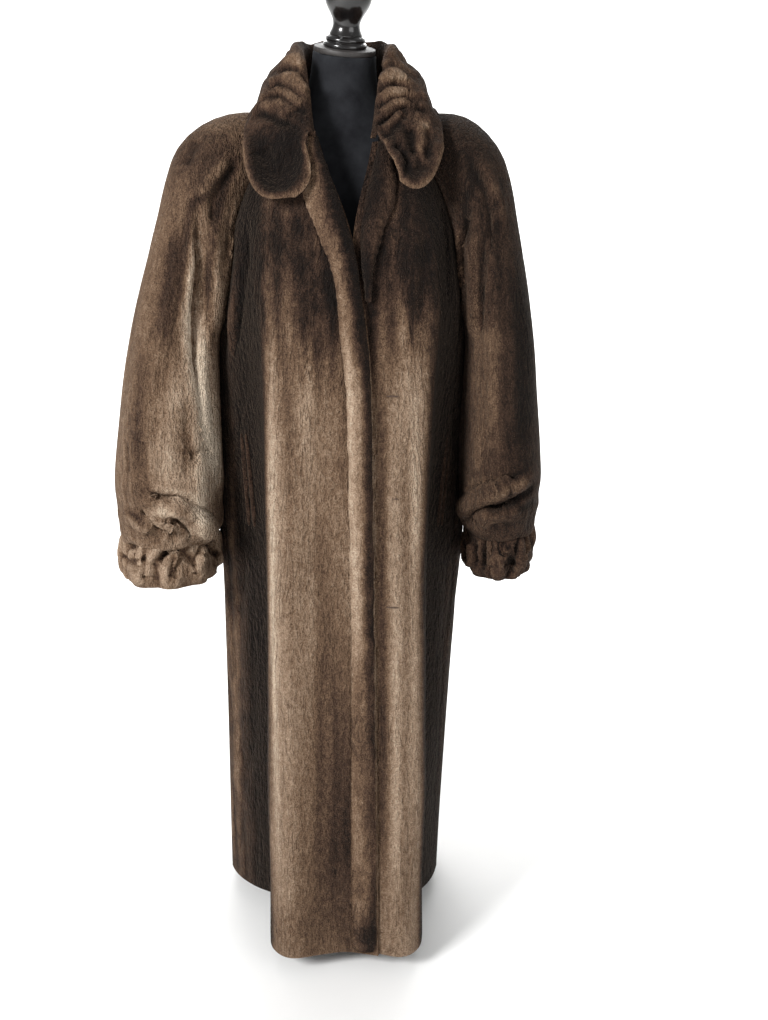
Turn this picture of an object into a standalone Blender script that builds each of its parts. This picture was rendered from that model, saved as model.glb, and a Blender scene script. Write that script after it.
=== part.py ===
# A full-length sheared beaver coat with raglan bishop sleeves, gathered cuffs and a ruched collar,
# standing on a limbless dress form with a neck cap, a turned finial, a pole and a round base.
#
# Metres, +Z up, the coat's front faces -Y and +X is to the right of someone facing the coat.
# The origin is the centre of the base's underside. "right" and "left" are the wearer's,
# so the wearer's right is on the -X side. Heights in the tables are measured above the hem.

import math

import bmesh
import bpy
import numpy as np
from mathutils import Matrix, Vector
from mathutils.bvhtree import BVHTree

# ---------------------------------------------------------------- driving sizes

HEM_CLEARANCE = 0.032          # hem above the floor
FUR_WALL = 0.0060              # skin and sheared fur together
CUFF_WALL = 0.0060
COLLAR_WALL = 0.0070
SLEEVE_CLEARANCE = 0.0025      # between a sleeve and the body
COLLAR_CLEARANCE = 0.0012      # over the faceted pieces under it
BAND_INSET = 0.0008            # a lapel's edge inside the edge of the panel under it
LAPEL_WALL = 0.0085            # a turned-back front edge, two layers of fur
SEAM_GAP = 0.0003              # between neighbouring pieces
ARMPIT_HEIGHT = 0.950
NECK_RADIUS = 0.046            # of the form's neck
NECK_TOP_HEIGHT = 1.330
NECK_X = 0.003                 # the neck's top stands a little off the middle
NECK_Y = 0.000
CAP_FORWARD = 13.0             # degrees that the neck cap leans forward
CAP_SIDEWAYS = 5.0             # degrees that it leans to the wearer's left
CAP_THICKNESS = 0.008
CAP_PROFILE = ((0.0430, 0.000), (0.0448, 0.0015), (0.0448, 0.0060), (0.0430, CAP_THICKNESS))
TORSO_SIDES = 30
TORSO_RINGS = 19
POLE_RADIUS = 0.016
BACK_GODET = 0.026             # how far the back's folds stand out at the hem
BASE_RADIUS = 0.125
BASE_THICKNESS = 0.022
BASE_PROFILE = ((0.975, 0.0), (1.0, 0.003), (1.0, 0.012), (0.955, 0.018), (0.25, BASE_THICKNESS))
POCKET_COLUMN = 17             # column of the front whose strip holds the slit
POCKET_ROWS = slice(8, 11)
POCKET_LIP = 0.0055
POCKET_SEAT = 0.0007
EYE_HEIGHTS = (0.859, 0.713, 0.554)
EYE_X = 0.072
EYE_LENGTH = 0.017
EYE_RADIUS = 0.0014
TORSO_BOTTOM_HEIGHT = 0.560

SKIRT_ROWS = 13                # rows of each body panel from the hem to the armpit
YOKE_ROWS = 8                  # rows from the armpit to the neck
FRONT_COLUMNS = 22
BAND_COLUMNS = 5               # columns across the lapel or band
BACK_COLUMNS = 33
RING_POINTS = 23               # round a sleeve
ARM_ROWS = 16                  # rows of each sleeve from the armpit to the cuff
COLLAR_HALF_ROWS = 13
COLLAR_SEAT = 0.0005           # above the coat's neck edge
COLLAR_POINTS = 23             # from the seam over the fold to the edge
COLLAR_FOLD = 0.029            # width of the fold at the top
COLLAR_ROLLS = 2.5             # ruched rolls down the turned part
COLLAR_ROLL = 0.0026           # their height
OUTWARD_LIFT = 0.12            # leans the outward direction up, for the shoulders
FOLD_TROUGH = (66.0, 13.0, 0.015)   # front sleeve fold: angle, half width, depth of its trough
FOLD_RIDGE = (34.0, 14.0, 0.004)    # and of the ridge beside it
FOLD_START = 8.0               # degrees from the underarm seam
LEFT_FOLD_SHARE = 0.7          # the wearer's left sleeve has a shallower one
SLEEVE_FULLNESS = 0.86         # 1 is an ellipse, less is fuller at the corners
CUFF_GATHERS = 9
STEPS_PER_GATHER = 5
CUFF_WAVES = (0.0030, 0.0055, 0.0065, 0.0060, 0.0045)   # height of the gathers, top row first

# ---------------------------------------------------------------- shape tables

# Sections of the body. Each row is one height. front: y of the front face. edge_*: x of the front
# panel's folded side. valley_*: the fold behind it. side_*: the widest place. back: y of the back.
BODY_COLUMNS = ("height", "front", "edge_r", "edge_l", "valley_xr", "valley_xl", "valley_y",
                "side_r", "side_l", "side_y", "back")
BODY_TABLE = (
    (0.000, -0.215, -0.118, 0.119, -0.106, 0.104, -0.058, -0.206, 0.152, 0.050, 0.225),
    (0.300, -0.206, -0.116, 0.123, -0.106, 0.110, -0.055, -0.203, 0.166, 0.042, 0.203),
    (0.550, -0.195, -0.113, 0.122, -0.110, 0.116, -0.062, -0.201, 0.180, 0.028, 0.182),
    (0.750, -0.184, -0.115, 0.127, -0.122, 0.132, -0.078, -0.200, 0.188, 0.018, 0.165),
    (0.880, -0.174, -0.114, 0.134, -0.133, 0.147, -0.090, -0.194, 0.186, 0.010, 0.154),
    (0.950, -0.166, -0.114, 0.137, -0.142, 0.154, -0.094, -0.184, 0.182, 0.002, 0.147),
    (1.050, -0.150, -0.116, 0.132, -0.146, 0.154, -0.090, -0.176, 0.176, 0.000, 0.136),
    (1.130, -0.130, -0.104, 0.108, -0.134, 0.138, -0.078, -0.162, 0.162, 0.004, 0.118),
    (1.190, -0.104, -0.080, 0.082, -0.104, 0.106, -0.058, -0.126, 0.126, 0.008, 0.098),
    (1.245, -0.080, -0.052, 0.052, -0.070, 0.070, -0.040, -0.082, 0.082, 0.012, 0.080),
)

# The fronts' edges: x at each height. over: the wearer's right front, on top. under: the left one.
# *_fold: far edge of the lapel or band that is turned back. under_roll: the left lapel's near edge.
EDGE_COLUMNS = ("height", "over_x", "over_fold", "under_x", "under_roll", "under_fold")
EDGE_TABLE = (
    (0.000, 0.051, 0.008, -0.030, -0.010, 0.020),
    (0.550, 0.047, 0.010, -0.030, -0.010, 0.020),
    (0.870, 0.044, 0.006, -0.026, 0.000, 0.030),
    (0.948, 0.038, -0.003, -0.008, 0.020, 0.036),
    (0.990, 0.032, -0.006, 0.014, 0.036, 0.043),
    (1.020, 0.027, -0.010, 0.020, 0.031, 0.044),
    (1.045, 0.023, -0.016, 0.016, 0.027, 0.048),
    (1.069, 0.019, -0.030, 0.014, 0.023, 0.054),
    (1.100, 0.010, -0.043, 0.020, 0.027, 0.070),
    (1.129, -0.001, -0.060, 0.026, 0.033, 0.084),
    (1.166, -0.018, -0.054, 0.036, 0.043, 0.078),
    (1.205, -0.030, -0.042, 0.044, 0.050, 0.060),
)

# Raglan seams from the armpit to the neck, as places on the body's sections.
# front_turn and back_turn: share of the way round the half section, 0 at centre front.
RAGLAN_COLUMNS = ("front_height", "front_turn", "back_height", "back_turn")
RAGLAN_TABLE = (
    (0.950, 0.560, 0.950, 0.560),
    (0.985, 0.510, 0.990, 0.605),
    (1.030, 0.480, 1.035, 0.645),
    (1.075, 0.460, 1.080, 0.680),
    (1.120, 0.445, 1.125, 0.710),
    (1.160, 0.435, 1.170, 0.740),
    (1.195, 0.435, 1.208, 0.768),
    (1.222, 0.445, 1.238, 0.790),
)

# Sleeve sections. outer and inner: x and height of a section's far and near ends, given for each
# arm. middle: its y. front and back: its half depths. opening: half angle open to the body.
SLEEVE_COLUMNS = ("outer_xr", "outer_xl", "outer_z", "inner_xr", "inner_xl", "inner_z",
                  "middle", "front", "back", "opening")
SHOULDER_TABLE = (
    (-0.087, 0.087, 1.245, -0.082, 0.082, 1.180, 0.004, 0.057, 0.062, 88.0),
    (-0.124, 0.122, 1.247, -0.108, 0.108, 1.140, 0.003, 0.074, 0.082, 82.0),
    (-0.165, 0.160, 1.250, -0.130, 0.130, 1.110, 0.002, 0.090, 0.096, 73.0),
    (-0.207, 0.197, 1.234, -0.150, 0.150, 1.085, 0.000, 0.100, 0.103, 62.0),
    (-0.243, 0.230, 1.202, -0.168, 0.165, 1.050, -0.002, 0.106, 0.107, 50.0),
    (-0.262, 0.246, 1.150, -0.180, 0.176, 1.010, -0.005, 0.107, 0.108, 38.0),
    (-0.277, 0.258, 1.095, -0.186, 0.182, 0.980, -0.008, 0.106, 0.106, 22.0),
    (-0.291, 0.267, 1.040, -0.192, 0.188, 0.955, -0.012, 0.104, 0.104, 0.0),
)
ARM_TABLE = (
    (-0.291, 0.267, 1.040, -0.192, 0.188, 0.955, -0.012, 0.104, 0.104, 0.0),
    (-0.315, 0.284, 0.944, -0.196, 0.188, 0.900, -0.020, 0.104, 0.102, 0.0),
    (-0.333, 0.291, 0.852, -0.197, 0.186, 0.830, -0.026, 0.106, 0.104, 0.0),
    (-0.348, 0.298, 0.760, -0.197, 0.185, 0.745, -0.030, 0.108, 0.106, 0.0),
    (-0.353, 0.302, 0.705, -0.197, 0.185, 0.698, -0.030, 0.108, 0.106, 0.0),
    (-0.350, 0.297, 0.676, -0.200, 0.187, 0.674, -0.030, 0.098, 0.098, 0.0),
    (-0.350, 0.298, 0.655, -0.199, 0.187, 0.654, -0.030, 0.102, 0.100, 0.0),
    (-0.340, 0.285, 0.632, -0.204, 0.190, 0.631, -0.030, 0.086, 0.082, 0.0),
)
CUFF_TABLE = (
    (-0.340, 0.285, 0.632, -0.204, 0.190, 0.631, -0.030, 0.086, 0.082, 0.0),
    (-0.351, 0.292, 0.604, -0.200, 0.188, 0.603, -0.030, 0.092, 0.088, 0.0),
    (-0.353, 0.292, 0.578, -0.200, 0.187, 0.577, -0.030, 0.094, 0.090, 0.0),
    (-0.345, 0.285, 0.556, -0.204, 0.190, 0.555, -0.030, 0.086, 0.082, 0.0),
)
LEFT_ARM_LIFT = 0.014          # the wearer's left cuff hangs a little higher

# The collar from its front end round to the centre back. top: the fold line. fall: the lower edge
# of the turned-down part. Each is a point x, y and height.
COLLAR_COLUMNS = ("top_x", "top_y", "top_z", "fall_x", "fall_y", "fall_z")
COLLAR_TABLE = (
    (-0.036, -0.102, 1.226, -0.079, -0.151, 1.138),
    (-0.040, -0.086, 1.250, -0.108, -0.146, 1.126),
    (-0.046, -0.060, 1.294, -0.134, -0.124, 1.160),
    (-0.052, -0.030, 1.328, -0.141, -0.078, 1.226),
    (-0.056, 0.006, 1.340, -0.128, 0.000, 1.276),
    (-0.050, 0.042, 1.344, -0.100, 0.074, 1.266),
    (-0.030, 0.062, 1.346, -0.054, 0.108, 1.260),
    (0.000, 0.070, 1.346, 0.000, 0.116, 1.258),
)
LEFT_LOBE_LIFT = 0.012         # the wearer's left lobe is a little smaller

# Half widths and depths of the form. back and front: y of its back and its front.
TORSO_COLUMNS = ("height", "half_width", "front", "back")
TORSO_TABLE = (
    (0.560, 0.112, -0.078, 0.096),
    (0.640, 0.122, -0.084, 0.108),
    (0.760, 0.116, -0.086, 0.092),
    (0.860, 0.112, -0.090, 0.080),
    (0.960, 0.130, -0.112, 0.090),
    (1.030, 0.140, -0.118, 0.100),
    (1.100, 0.142, -0.094, 0.100),
    (1.150, 0.150, -0.070, 0.096),
    (1.190, 0.138, -0.054, 0.084),
    (1.218, 0.109, -0.050, 0.0720),
    (1.240, 0.071, -0.048, 0.060),
    (1.270, 0.049, -0.044, 0.047),
)
FINIAL_PROFILE = (             # radius, height above the cap
    (0.0300, 0.000), (0.0315, 0.003), (0.0305, 0.007), (0.0275, 0.009), (0.0285, 0.012),
    (0.0265, 0.017), (0.0215, 0.023), (0.0195, 0.030), (0.0205, 0.036), (0.0260, 0.046),
    (0.0320, 0.057), (0.0345, 0.070), (0.0315, 0.083), (0.0225, 0.093), (0.0110, 0.098),
)


# ---------------------------------------------------------------- general helpers

def column(table, names, name):
    """One named column of a table as an array."""
    return np.array([row[names.index(name)] for row in table], dtype=float)


def smooth(values, places):
    """Values of a smooth curve through evenly spaced values, at places from 0 to 1."""
    values = np.asarray(values, dtype=float)
    last = len(values) - 1
    place = np.clip(np.asarray(places, dtype=float), 0.0, 1.0) * last
    index = np.minimum(place.astype(int), last - 1)
    rest = place - index
    if values.ndim > 1:
        rest = rest[..., None]
    before = values[np.maximum(index - 1, 0)]
    start = values[index]
    end = values[index + 1]
    after = values[np.minimum(index + 2, last)]
    return 0.5 * (2 * start + (end - before) * rest
                  + (2 * before - 5 * start + 4 * end - after) * rest ** 2
                  + (3 * start - before - 3 * end + after) * rest ** 3)


def at_height(table, names, name, height):
    """A column of a table read at any height."""
    heights = column(table, names, "height")
    place = np.interp(height, heights, np.linspace(0.0, 1.0, len(heights)))
    return smooth(column(table, names, name), place)


def soft_step(low, high, value):
    """0 below low, 1 above high, smooth between."""
    share = np.clip((value - low) / (high - low), 0.0, 1.0)
    return share * share * (3.0 - 2.0 * share)


# ---------------------------------------------------------------- the body's surface

def half_section(height, side):
    """Points of half a body section from centre front to centre back. side: -1 right, 1 left."""
    suffix = "r" if side < 0 else "l"

    def value(name):
        return float(at_height(BODY_TABLE, BODY_COLUMNS, name, height))

    front = value("front")
    edge = value("edge_" + suffix)
    valley = value("valley_x" + suffix)
    valley_y = value("valley_y")
    wide = value("side_" + suffix)
    side_y = value("side_y")
    back = value("back")
    flare = float(soft_step(0.85, 0.0, height))
    godet = BACK_GODET * flare
    depth = valley_y - 0.010 - front
    shallow = float(soft_step(0.10, 0.05, depth))
    return np.array([
        (0.0, front, height),
        (edge * 0.36, front - 0.010 * flare, height),
        (edge * 0.72, front + 0.004 - 0.024 * flare, height),
        (edge * 0.97, front - 0.012 * flare + min(0.022, depth * 0.32), height),
        (edge + (valley - edge) * 0.45 * shallow, front + min(0.058, depth * 0.66), height),
        (valley, valley_y - 0.010, height),
        (valley + (wide - valley) * 0.45, valley_y * 0.80 + side_y * 0.20, height),
        (wide - (wide - valley) * 0.08, valley_y * 0.30 + side_y * 0.70, height),
        (wide, side_y + 0.040, height),
        (wide * 0.93, side_y * 0.50 + back * 0.50 + godet * 0.4, height),
        (wide * 0.80, back * 0.78 + godet * 0.8, height),
        (wide * 0.56, back * 0.90 - godet * 1.2, height),
        (wide * 0.30, back + godet * 0.7, height),
        (0.0, back - godet * 0.6, height),
    ])


def body_point(height, turn, side):
    """A point of the body's outer surface. turn: 0 at centre front, 1 at centre back."""
    return smooth(half_section(height, side), turn)


def turn_at_x(height, x, side):
    """The turn at which the front face reaches an x."""
    turns = np.linspace(0.0, 0.24, 25)
    xs = smooth(half_section(height, side), turns)[:, 0] * side
    return float(np.interp(x * side, xs, turns))


def raglan(name, row):
    return RAGLAN_TABLE[row][RAGLAN_COLUMNS.index(name)]


def raglan_seam(row, side, face):
    """A point of the front or back raglan seam at a yoke row."""
    return body_point(raglan(face + "_height", row), raglan(face + "_turn", row), side)


def skirt_heights():
    """Heights of the rows from the hem to the armpit."""
    return np.linspace(0.0, ARMPIT_HEIGHT, SKIRT_ROWS)


def front_grid(side):
    """Outer points of a front: rows from hem to neck, columns from the front edge to the side."""
    names = ("over_x", "over_fold") if side < 0 else ("under_x", "under_roll", "under_fold")
    side_turn = RAGLAN_TABLE[0][RAGLAN_COLUMNS.index("front_turn")]
    edge_top = EDGE_TABLE[-1][0]
    ends = [(height, height, side_turn) for height in skirt_heights()]
    for row in range(1, YOKE_ROWS):
        share = row / (YOKE_ROWS - 1)
        edge_height = ARMPIT_HEIGHT + (edge_top - ARMPIT_HEIGHT) * share
        ends.append((edge_height, raglan("front_height", row), raglan("front_turn", row)))
    rows = []
    for edge_height, side_height, turn in ends:
        edges = [float(at_height(EDGE_TABLE, EDGE_COLUMNS, name, edge_height)) for name in names]
        rows.append(front_row(edges, edge_height, side_height, turn, side))
    return np.array(rows)


def front_row(edges, edge_height, side_height, side_turn, side):
    """One row of a front, which starts past the centre where the fronts overlap."""
    marks = []
    for edge_x in edges:
        turn = turn_at_x(edge_height, edge_x, -1 if edge_x < 0 else 1)
        marks.append(-turn if edge_x * side < 0 else turn)
    turns = []
    if side > 0:
        turns.append(marks[0])
    turns += list(np.linspace(marks[-2], marks[-1], BAND_COLUMNS))
    turns += list(np.linspace(marks[-1], side_turn, FRONT_COLUMNS - len(turns) + 1)[1:])
    turns = np.array(turns)
    shares = soft_step(turns[0], side_turn, turns)
    heights = edge_height + (side_height - edge_height) * shares
    points = []
    for height, turn in zip(heights, turns):
        points.append(body_point(height, abs(turn), side if turn >= 0.0 else -side))
    points = np.array(points)
    if side > 0:
        # the left front lies under the right one
        points[:, 1] += (FUR_WALL * 1.08 + SEAM_GAP) * soft_step(0.105, 0.062, points[:, 0])
    return points


def back_grid():
    """Outer points of the back: rows from hem to neck, columns from right side to left side."""
    rows = []
    side_turn = RAGLAN_TABLE[0][RAGLAN_COLUMNS.index("back_turn")]
    half = (BACK_COLUMNS - 1) // 2
    ends = [(height, height, side_turn) for height in skirt_heights()]
    centre_top = 1.250
    for row in range(1, YOKE_ROWS):
        share = row / (YOKE_ROWS - 1)
        centre = ARMPIT_HEIGHT + (centre_top - ARMPIT_HEIGHT) * share
        ends.append((centre, raglan("back_height", row), raglan("back_turn", row)))
    for centre, side_height, turn in ends:
        shares = np.linspace(0.0, 1.0, half + 1)
        points = {}
        for side in (-1, 1):
            points[side] = [body_point(side_height + (centre - side_height) * share,
                                       turn + (1.0 - turn) * share, side) for share in shares]
        rows.append(points[-1] + points[1][:-1][::-1])
    return np.array(rows)


# ---------------------------------------------------------------- sleeves and cuffs

def sleeve_value(row, name):
    return row[SLEEVE_COLUMNS.index(name)]


def sleeve_axes(row, side):
    """Centre and in-out half axis of a sleeve section."""
    suffix = "r" if side < 0 else "l"
    middle = sleeve_value(row, "middle")
    ends = []
    for end in ("outer", "inner"):
        height = sleeve_value(row, end + "_z")
        if side > 0:
            height += LEFT_ARM_LIFT * float(soft_step(0.90, 0.64, height))
        ends.append(np.array((sleeve_value(row, end + "_x" + suffix), middle, height)))
    outer, inner = ends
    return (outer + inner) / 2, (outer - inner) / 2


def front_fold(angle, height, side):
    """How far the long fold down a sleeve's front moves a point in (more than 0) or out."""
    degrees = math.degrees(angle)
    push = 0.0
    if degrees < FOLD_START:
        return push
    for (place, width, depth), sign in ((FOLD_TROUGH, 1.0), (FOLD_RIDGE, -1.0)):
        push += sign * depth * math.exp(-((degrees - place) / width) ** 2)
    length_share = float(soft_step(1.19, 1.08, height) * soft_step(0.665, 0.78, height))
    return push * length_share * (1.0 if side < 0 else LEFT_FOLD_SHARE)


def sleeve_ring(row, side, fullness=SLEEVE_FULLNESS):
    """One sleeve section from the underarm by the front, the outside and the back, and back."""
    centre, reach = sleeve_axes(row, side)
    opening = math.radians(sleeve_value(row, "opening"))
    points = []
    for angle in np.linspace(opening, 2 * math.pi - opening, RING_POINTS):
        depth = sleeve_value(row, "front") if angle < math.pi else sleeve_value(row, "back")
        across = math.copysign(abs(math.cos(angle)) ** fullness, math.cos(angle))
        deep = math.copysign(abs(math.sin(angle)) ** fullness, math.sin(angle))
        point = centre - reach * across + np.array((0.0, -depth * deep, 0.0))
        point[1] += front_fold(angle, point[2], side)
        points.append(point)
    return np.array(points)


def resample(table, rows):
    """A table with its columns read smoothly at a number of rows."""
    return [tuple(row) for row in smooth(np.array(table), np.linspace(0.0, 1.0, rows))]


def pull_to_seam(points, start, end):
    """Moves a row's two ends onto the seam, and its neighbours less and less."""
    count = len(points)
    shares = np.linspace(0.0, 1.0, count)
    near_start = soft_step(0.42, 0.0, shares)[:, None]
    near_end = soft_step(0.58, 1.0, shares)[:, None]
    return points + near_start * (start - points[0]) + near_end * (end - points[-1])


def sleeve_grid(side):
    """Outer points of a sleeve: rows from the neck to the cuff."""
    rows = []
    for index, row in enumerate(SHOULDER_TABLE):
        yoke = YOKE_ROWS - 1 - index
        fullness = 1.0 + (SLEEVE_FULLNESS - 1.0) * index / (YOKE_ROWS - 1)
        points = sleeve_ring(row, side, fullness)
        rows.append(pull_to_seam(points, raglan_seam(yoke, side, "front"),
                                 raglan_seam(yoke, side, "back")))
    for row in resample(ARM_TABLE, ARM_ROWS)[1:]:
        rows.append(sleeve_ring(row, side))
    return np.array(rows)


def cuff_grid(side):
    """Outer points of a gathered cuff, whose walls wave in and out."""
    rows = []
    table = resample(CUFF_TABLE, len(CUFF_WAVES))
    for row, wave in zip(table, CUFF_WAVES):
        centre, reach = sleeve_axes(row, side)
        half = np.linalg.norm(reach)
        points = []
        for angle in np.linspace(0.0, 2 * math.pi, CUFF_GATHERS * STEPS_PER_GATHER + 1):
            depth = sleeve_value(row, "front") if angle < math.pi else sleeve_value(row, "back")
            uneven = 0.75 + 0.25 * math.sin(angle * 2 + side)
            push = wave * uneven * math.cos(angle * CUFF_GATHERS)
            across = reach * (half + push) / half * math.cos(angle)
            points.append(centre - across + np.array((0.0, -(depth + push) * math.sin(angle), 0.0)))
        rows.append(points)
    return np.array(rows)


# ---------------------------------------------------------------- collar

def neckline(grids, normals):
    """Points along the middle of the coat's neck edge, from the right front to the left front."""
    pieces = []
    for name in ("front_right", "sleeve_right", "back", "sleeve_left", "front_left"):
        row = 0 if name.startswith("sleeve") else -1
        outer = grids[name][row]
        inner = outer - normals[name][row] * FUR_WALL
        points = (outer + inner) / 2
        points[:, 2] = np.maximum(outer[:, 2], inner[:, 2])
        if name.startswith("front"):
            points = points[BAND_COLUMNS + 1:]
        if name.endswith("_left"):
            points = points[::-1]
        pieces.append(points)
    line = np.concatenate(pieces)
    for _ in range(2):             # the rim is as wide as its wall, so its higher side counts
        line[1:-1, 2] = np.maximum(line[1:-1, 2], np.maximum(line[:-2, 2], line[2:, 2]))
    order = [0]
    for index in range(1, len(line)):
        if np.linalg.norm(line[index] - line[order[-1]]) > 0.002:
            order.append(index)
    line = line[order]
    lengths = np.concatenate(([0.0], np.cumsum(np.linalg.norm(np.diff(line, axis=0), axis=1))))
    places = np.linspace(0.0, lengths[-1], 2 * COLLAR_HALF_ROWS - 1)
    base = np.stack([np.interp(places, lengths, line[:, axis]) for axis in range(3)], axis=1)
    return raise_over(base, places, line, lengths)


def raise_over(base, places, line, lengths):
    """Raises a coarse line until its straight stretches pass over every point of a finer one."""
    raised = base.copy()
    for _ in range(6):
        for point, length in zip(line, lengths):
            short = point[2] - float(np.interp(length, places, raised[:, 2]))
            if short > 0.0:
                near = np.searchsorted(places, length)
                raised[max(near - 1, 0), 2] += short
                raised[min(near, len(places) - 1), 2] += short
    for _ in range(2):
        between = (raised[:-2, 2] + raised[2:, 2]) / 2
        raised[1:-1, 2] = np.maximum(raised[1:-1, 2], between)
    return raised


def collar_grid(base_line):
    """Outer points of the collar: rows round the neck, columns from the seam over the fold."""
    half_rows = smooth(np.array(COLLAR_TABLE), np.linspace(0.0, 1.0, COLLAR_HALF_ROWS))
    top_start = COLLAR_COLUMNS.index("top_x")
    fall_start = COLLAR_COLUMNS.index("fall_x")
    rows = []
    for index, base in enumerate(base_line):
        half_index = min(index, len(base_line) - 1 - index)
        side = 1.0 if index < COLLAR_HALF_ROWS else -1.0
        flip = np.array((side, 1.0, 1.0))
        shift = np.array((NECK_X, 0.0, 0.0))
        top = half_rows[half_index][top_start:top_start + 3] * flip + shift
        fall = half_rows[half_index][fall_start:fall_start + 3] * flip + shift
        if side < 0:
            fall[2] += LEFT_LOBE_LIFT * float(soft_step(0.5, 0.2, half_index / COLLAR_HALF_ROWS))
        rows.append(collar_profile(base, top, fall, half_index / (COLLAR_HALF_ROWS - 1)))
    return np.array(rows)


def collar_profile(base, top, fall, share):
    """One section of the collar. share: 0 at the front end, 1 at centre back."""
    out = fall - top
    out[2] = 0.0
    out /= np.linalg.norm(out)
    up = np.array((0.0, 0.0, 1.0))
    width = COLLAR_FOLD
    drop = top[2] - fall[2]
    seat = base + up * COLLAR_SEAT - out * COLLAR_WALL * 0.5
    marks = np.array([
        seat,
        seat * 0.82 + top * 0.18,
        seat * 0.50 + top * 0.50,
        top + out * 0.002 - up * min(0.010, (top - seat)[2] * 0.3),
        top + out * width * 0.5 + up * 0.006,
        top + out * width - up * min(0.010, drop * 0.2),
        top * 0.62 + fall * 0.38 + out * 0.015,
        top * 0.34 + fall * 0.66 + out * 0.012,
        top * 0.14 + fall * 0.86 + out * 0.006,
        fall,
    ])
    places = np.linspace(0.0, 1.0, COLLAR_POINTS)
    points = smooth(marks, places)
    rolls = COLLAR_ROLL * soft_step(0.12, 0.42, share)
    fall_share = np.clip((places - 0.45) / 0.55, 0.0, 1.0)
    fade = np.sin(fall_share * math.pi) ** 0.5
    ripple = rolls * fade * np.sin(fall_share * COLLAR_ROLLS * 2 * math.pi)
    return points + ripple[:, None] * out


def tree_of_grids(grids):
    """A search tree of the outer faces of some grids, facing out and up from the body."""
    points = []
    faces = []
    for grid in grids:
        start = len(points)
        rows, columns = grid.shape[:2]
        points += [Vector(point) for point in grid.reshape(-1, 3)]
        for row, column in np.ndindex(rows - 1, columns - 1):
            first = start + row * columns + column
            face = [first, first + 1, first + columns + 1, first + columns]
            middle = (points[face[0]] + points[face[2]]) / 2
            normal = (points[face[2]] - points[face[0]]).cross(points[face[3]] - points[face[1]])
            if normal.dot(Vector((middle.x / 2, middle.y, OUTWARD_LIFT))) < 0.0:
                face.reverse()
            faces.append(face)
    return BVHTree.FromPolygons(points, faces)


def settle(grid, tree, clearance, first_column, rounds=4):
    """Pushes points from a column on outwards until they lie clear of what is under them."""
    moved = grid.copy()
    for _ in range(rounds):
        for row, column in np.ndindex(grid.shape[:2]):
            if column < first_column:
                continue
            point = Vector(moved[row, column])
            place, normal, _, distance = tree.find_nearest(point)
            height = (point - place).dot(normal)
            if distance < 0.03 and height < clearance:
                moved[row, column] = point + normal * (clearance - height)
    return moved


def settle_softly(grid, tree, clearance, first_column):
    """Settles a grid, spreads the push over its neighbours, and settles it once more."""
    push = settle(grid, tree, clearance, first_column) - grid
    for _ in range(3):
        spread = push.copy()
        spread[1:-1] += push[:-2] + push[2:]
        spread[1:-1] /= 3.0
        wide = spread.copy()
        wide[:, 1:-1] += spread[:, :-2] + spread[:, 2:]
        wide[:, 1:-1] /= 3.0
        wide[:, -1] = (spread[:, -1] + spread[:, -2]) / 2
        wide[:, :first_column] = 0.0
        push = wide
    return settle(grid + push, tree, clearance, first_column, 2)


# ---------------------------------------------------------------- building solids

def grid_normals(grid, core):
    """Unit normals of a grid of points, pointing away from the core points inside it."""
    along = np.gradient(grid, axis=0)
    across = np.gradient(grid, axis=1)
    normals = np.cross(across, along)
    normals /= np.maximum(np.linalg.norm(normals, axis=2, keepdims=True), 1e-9)
    if np.sum(normals * (grid - core)) < 0.0:
        normals = -normals
    return normals


def share_seam_normals(grids, normals):
    """Where pieces meet, gives them the same normal, so that their walls meet in a mitre."""
    met = {}
    for name, grid in grids.items():
        for place in np.ndindex(grid.shape[:2]):
            key = tuple(np.round(grid[place], 5))
            met.setdefault(key, []).append((name, place))
    for places in met.values():
        own = [normals[name][place].copy() for name, place in places]
        for (name, place), normal in zip(places, own):
            shared = np.sum([other for other in own if np.dot(normal, other) > 0.2], axis=0)
            normals[name][place] = shared / np.linalg.norm(shared)


def draw_in(grid, amount):
    """Moves the four edges of a grid inwards along its own rows and columns."""
    moved = grid.copy()
    for edge, neighbour in ((0, 1), (-1, -2)):
        step = grid[neighbour] - grid[edge]
        moved[edge] += step / np.maximum(np.linalg.norm(step, axis=1, keepdims=True), 1e-9) * amount
    for edge, neighbour in ((0, 1), (-1, -2)):
        step = grid[:, neighbour] - grid[:, edge]
        length = np.maximum(np.linalg.norm(step, axis=1, keepdims=True), 1e-9)
        moved[:, edge] += step / length * amount
    return moved


def material(name, colour, roughness, metallic=0.0):
    made = bpy.data.materials.get(name)
    if made is None:
        made = bpy.data.materials.new(name)
        made.use_nodes = True
        shader = made.node_tree.nodes["Principled BSDF"]
        shader.inputs["Base Color"].default_value = (*colour, 1.0)
        shader.inputs["Roughness"].default_value = roughness
        shader.inputs["Metallic"].default_value = metallic
    return made


def finish_object(name, mesh, finish, smooth_angle=40.0):
    made = bpy.data.objects.new(name, mesh)
    bpy.context.scene.collection.objects.link(made)
    mesh.materials.append(finish)
    mesh.shade_smooth()
    mesh.set_sharp_from_angle(angle=math.radians(smooth_angle))
    return made


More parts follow.
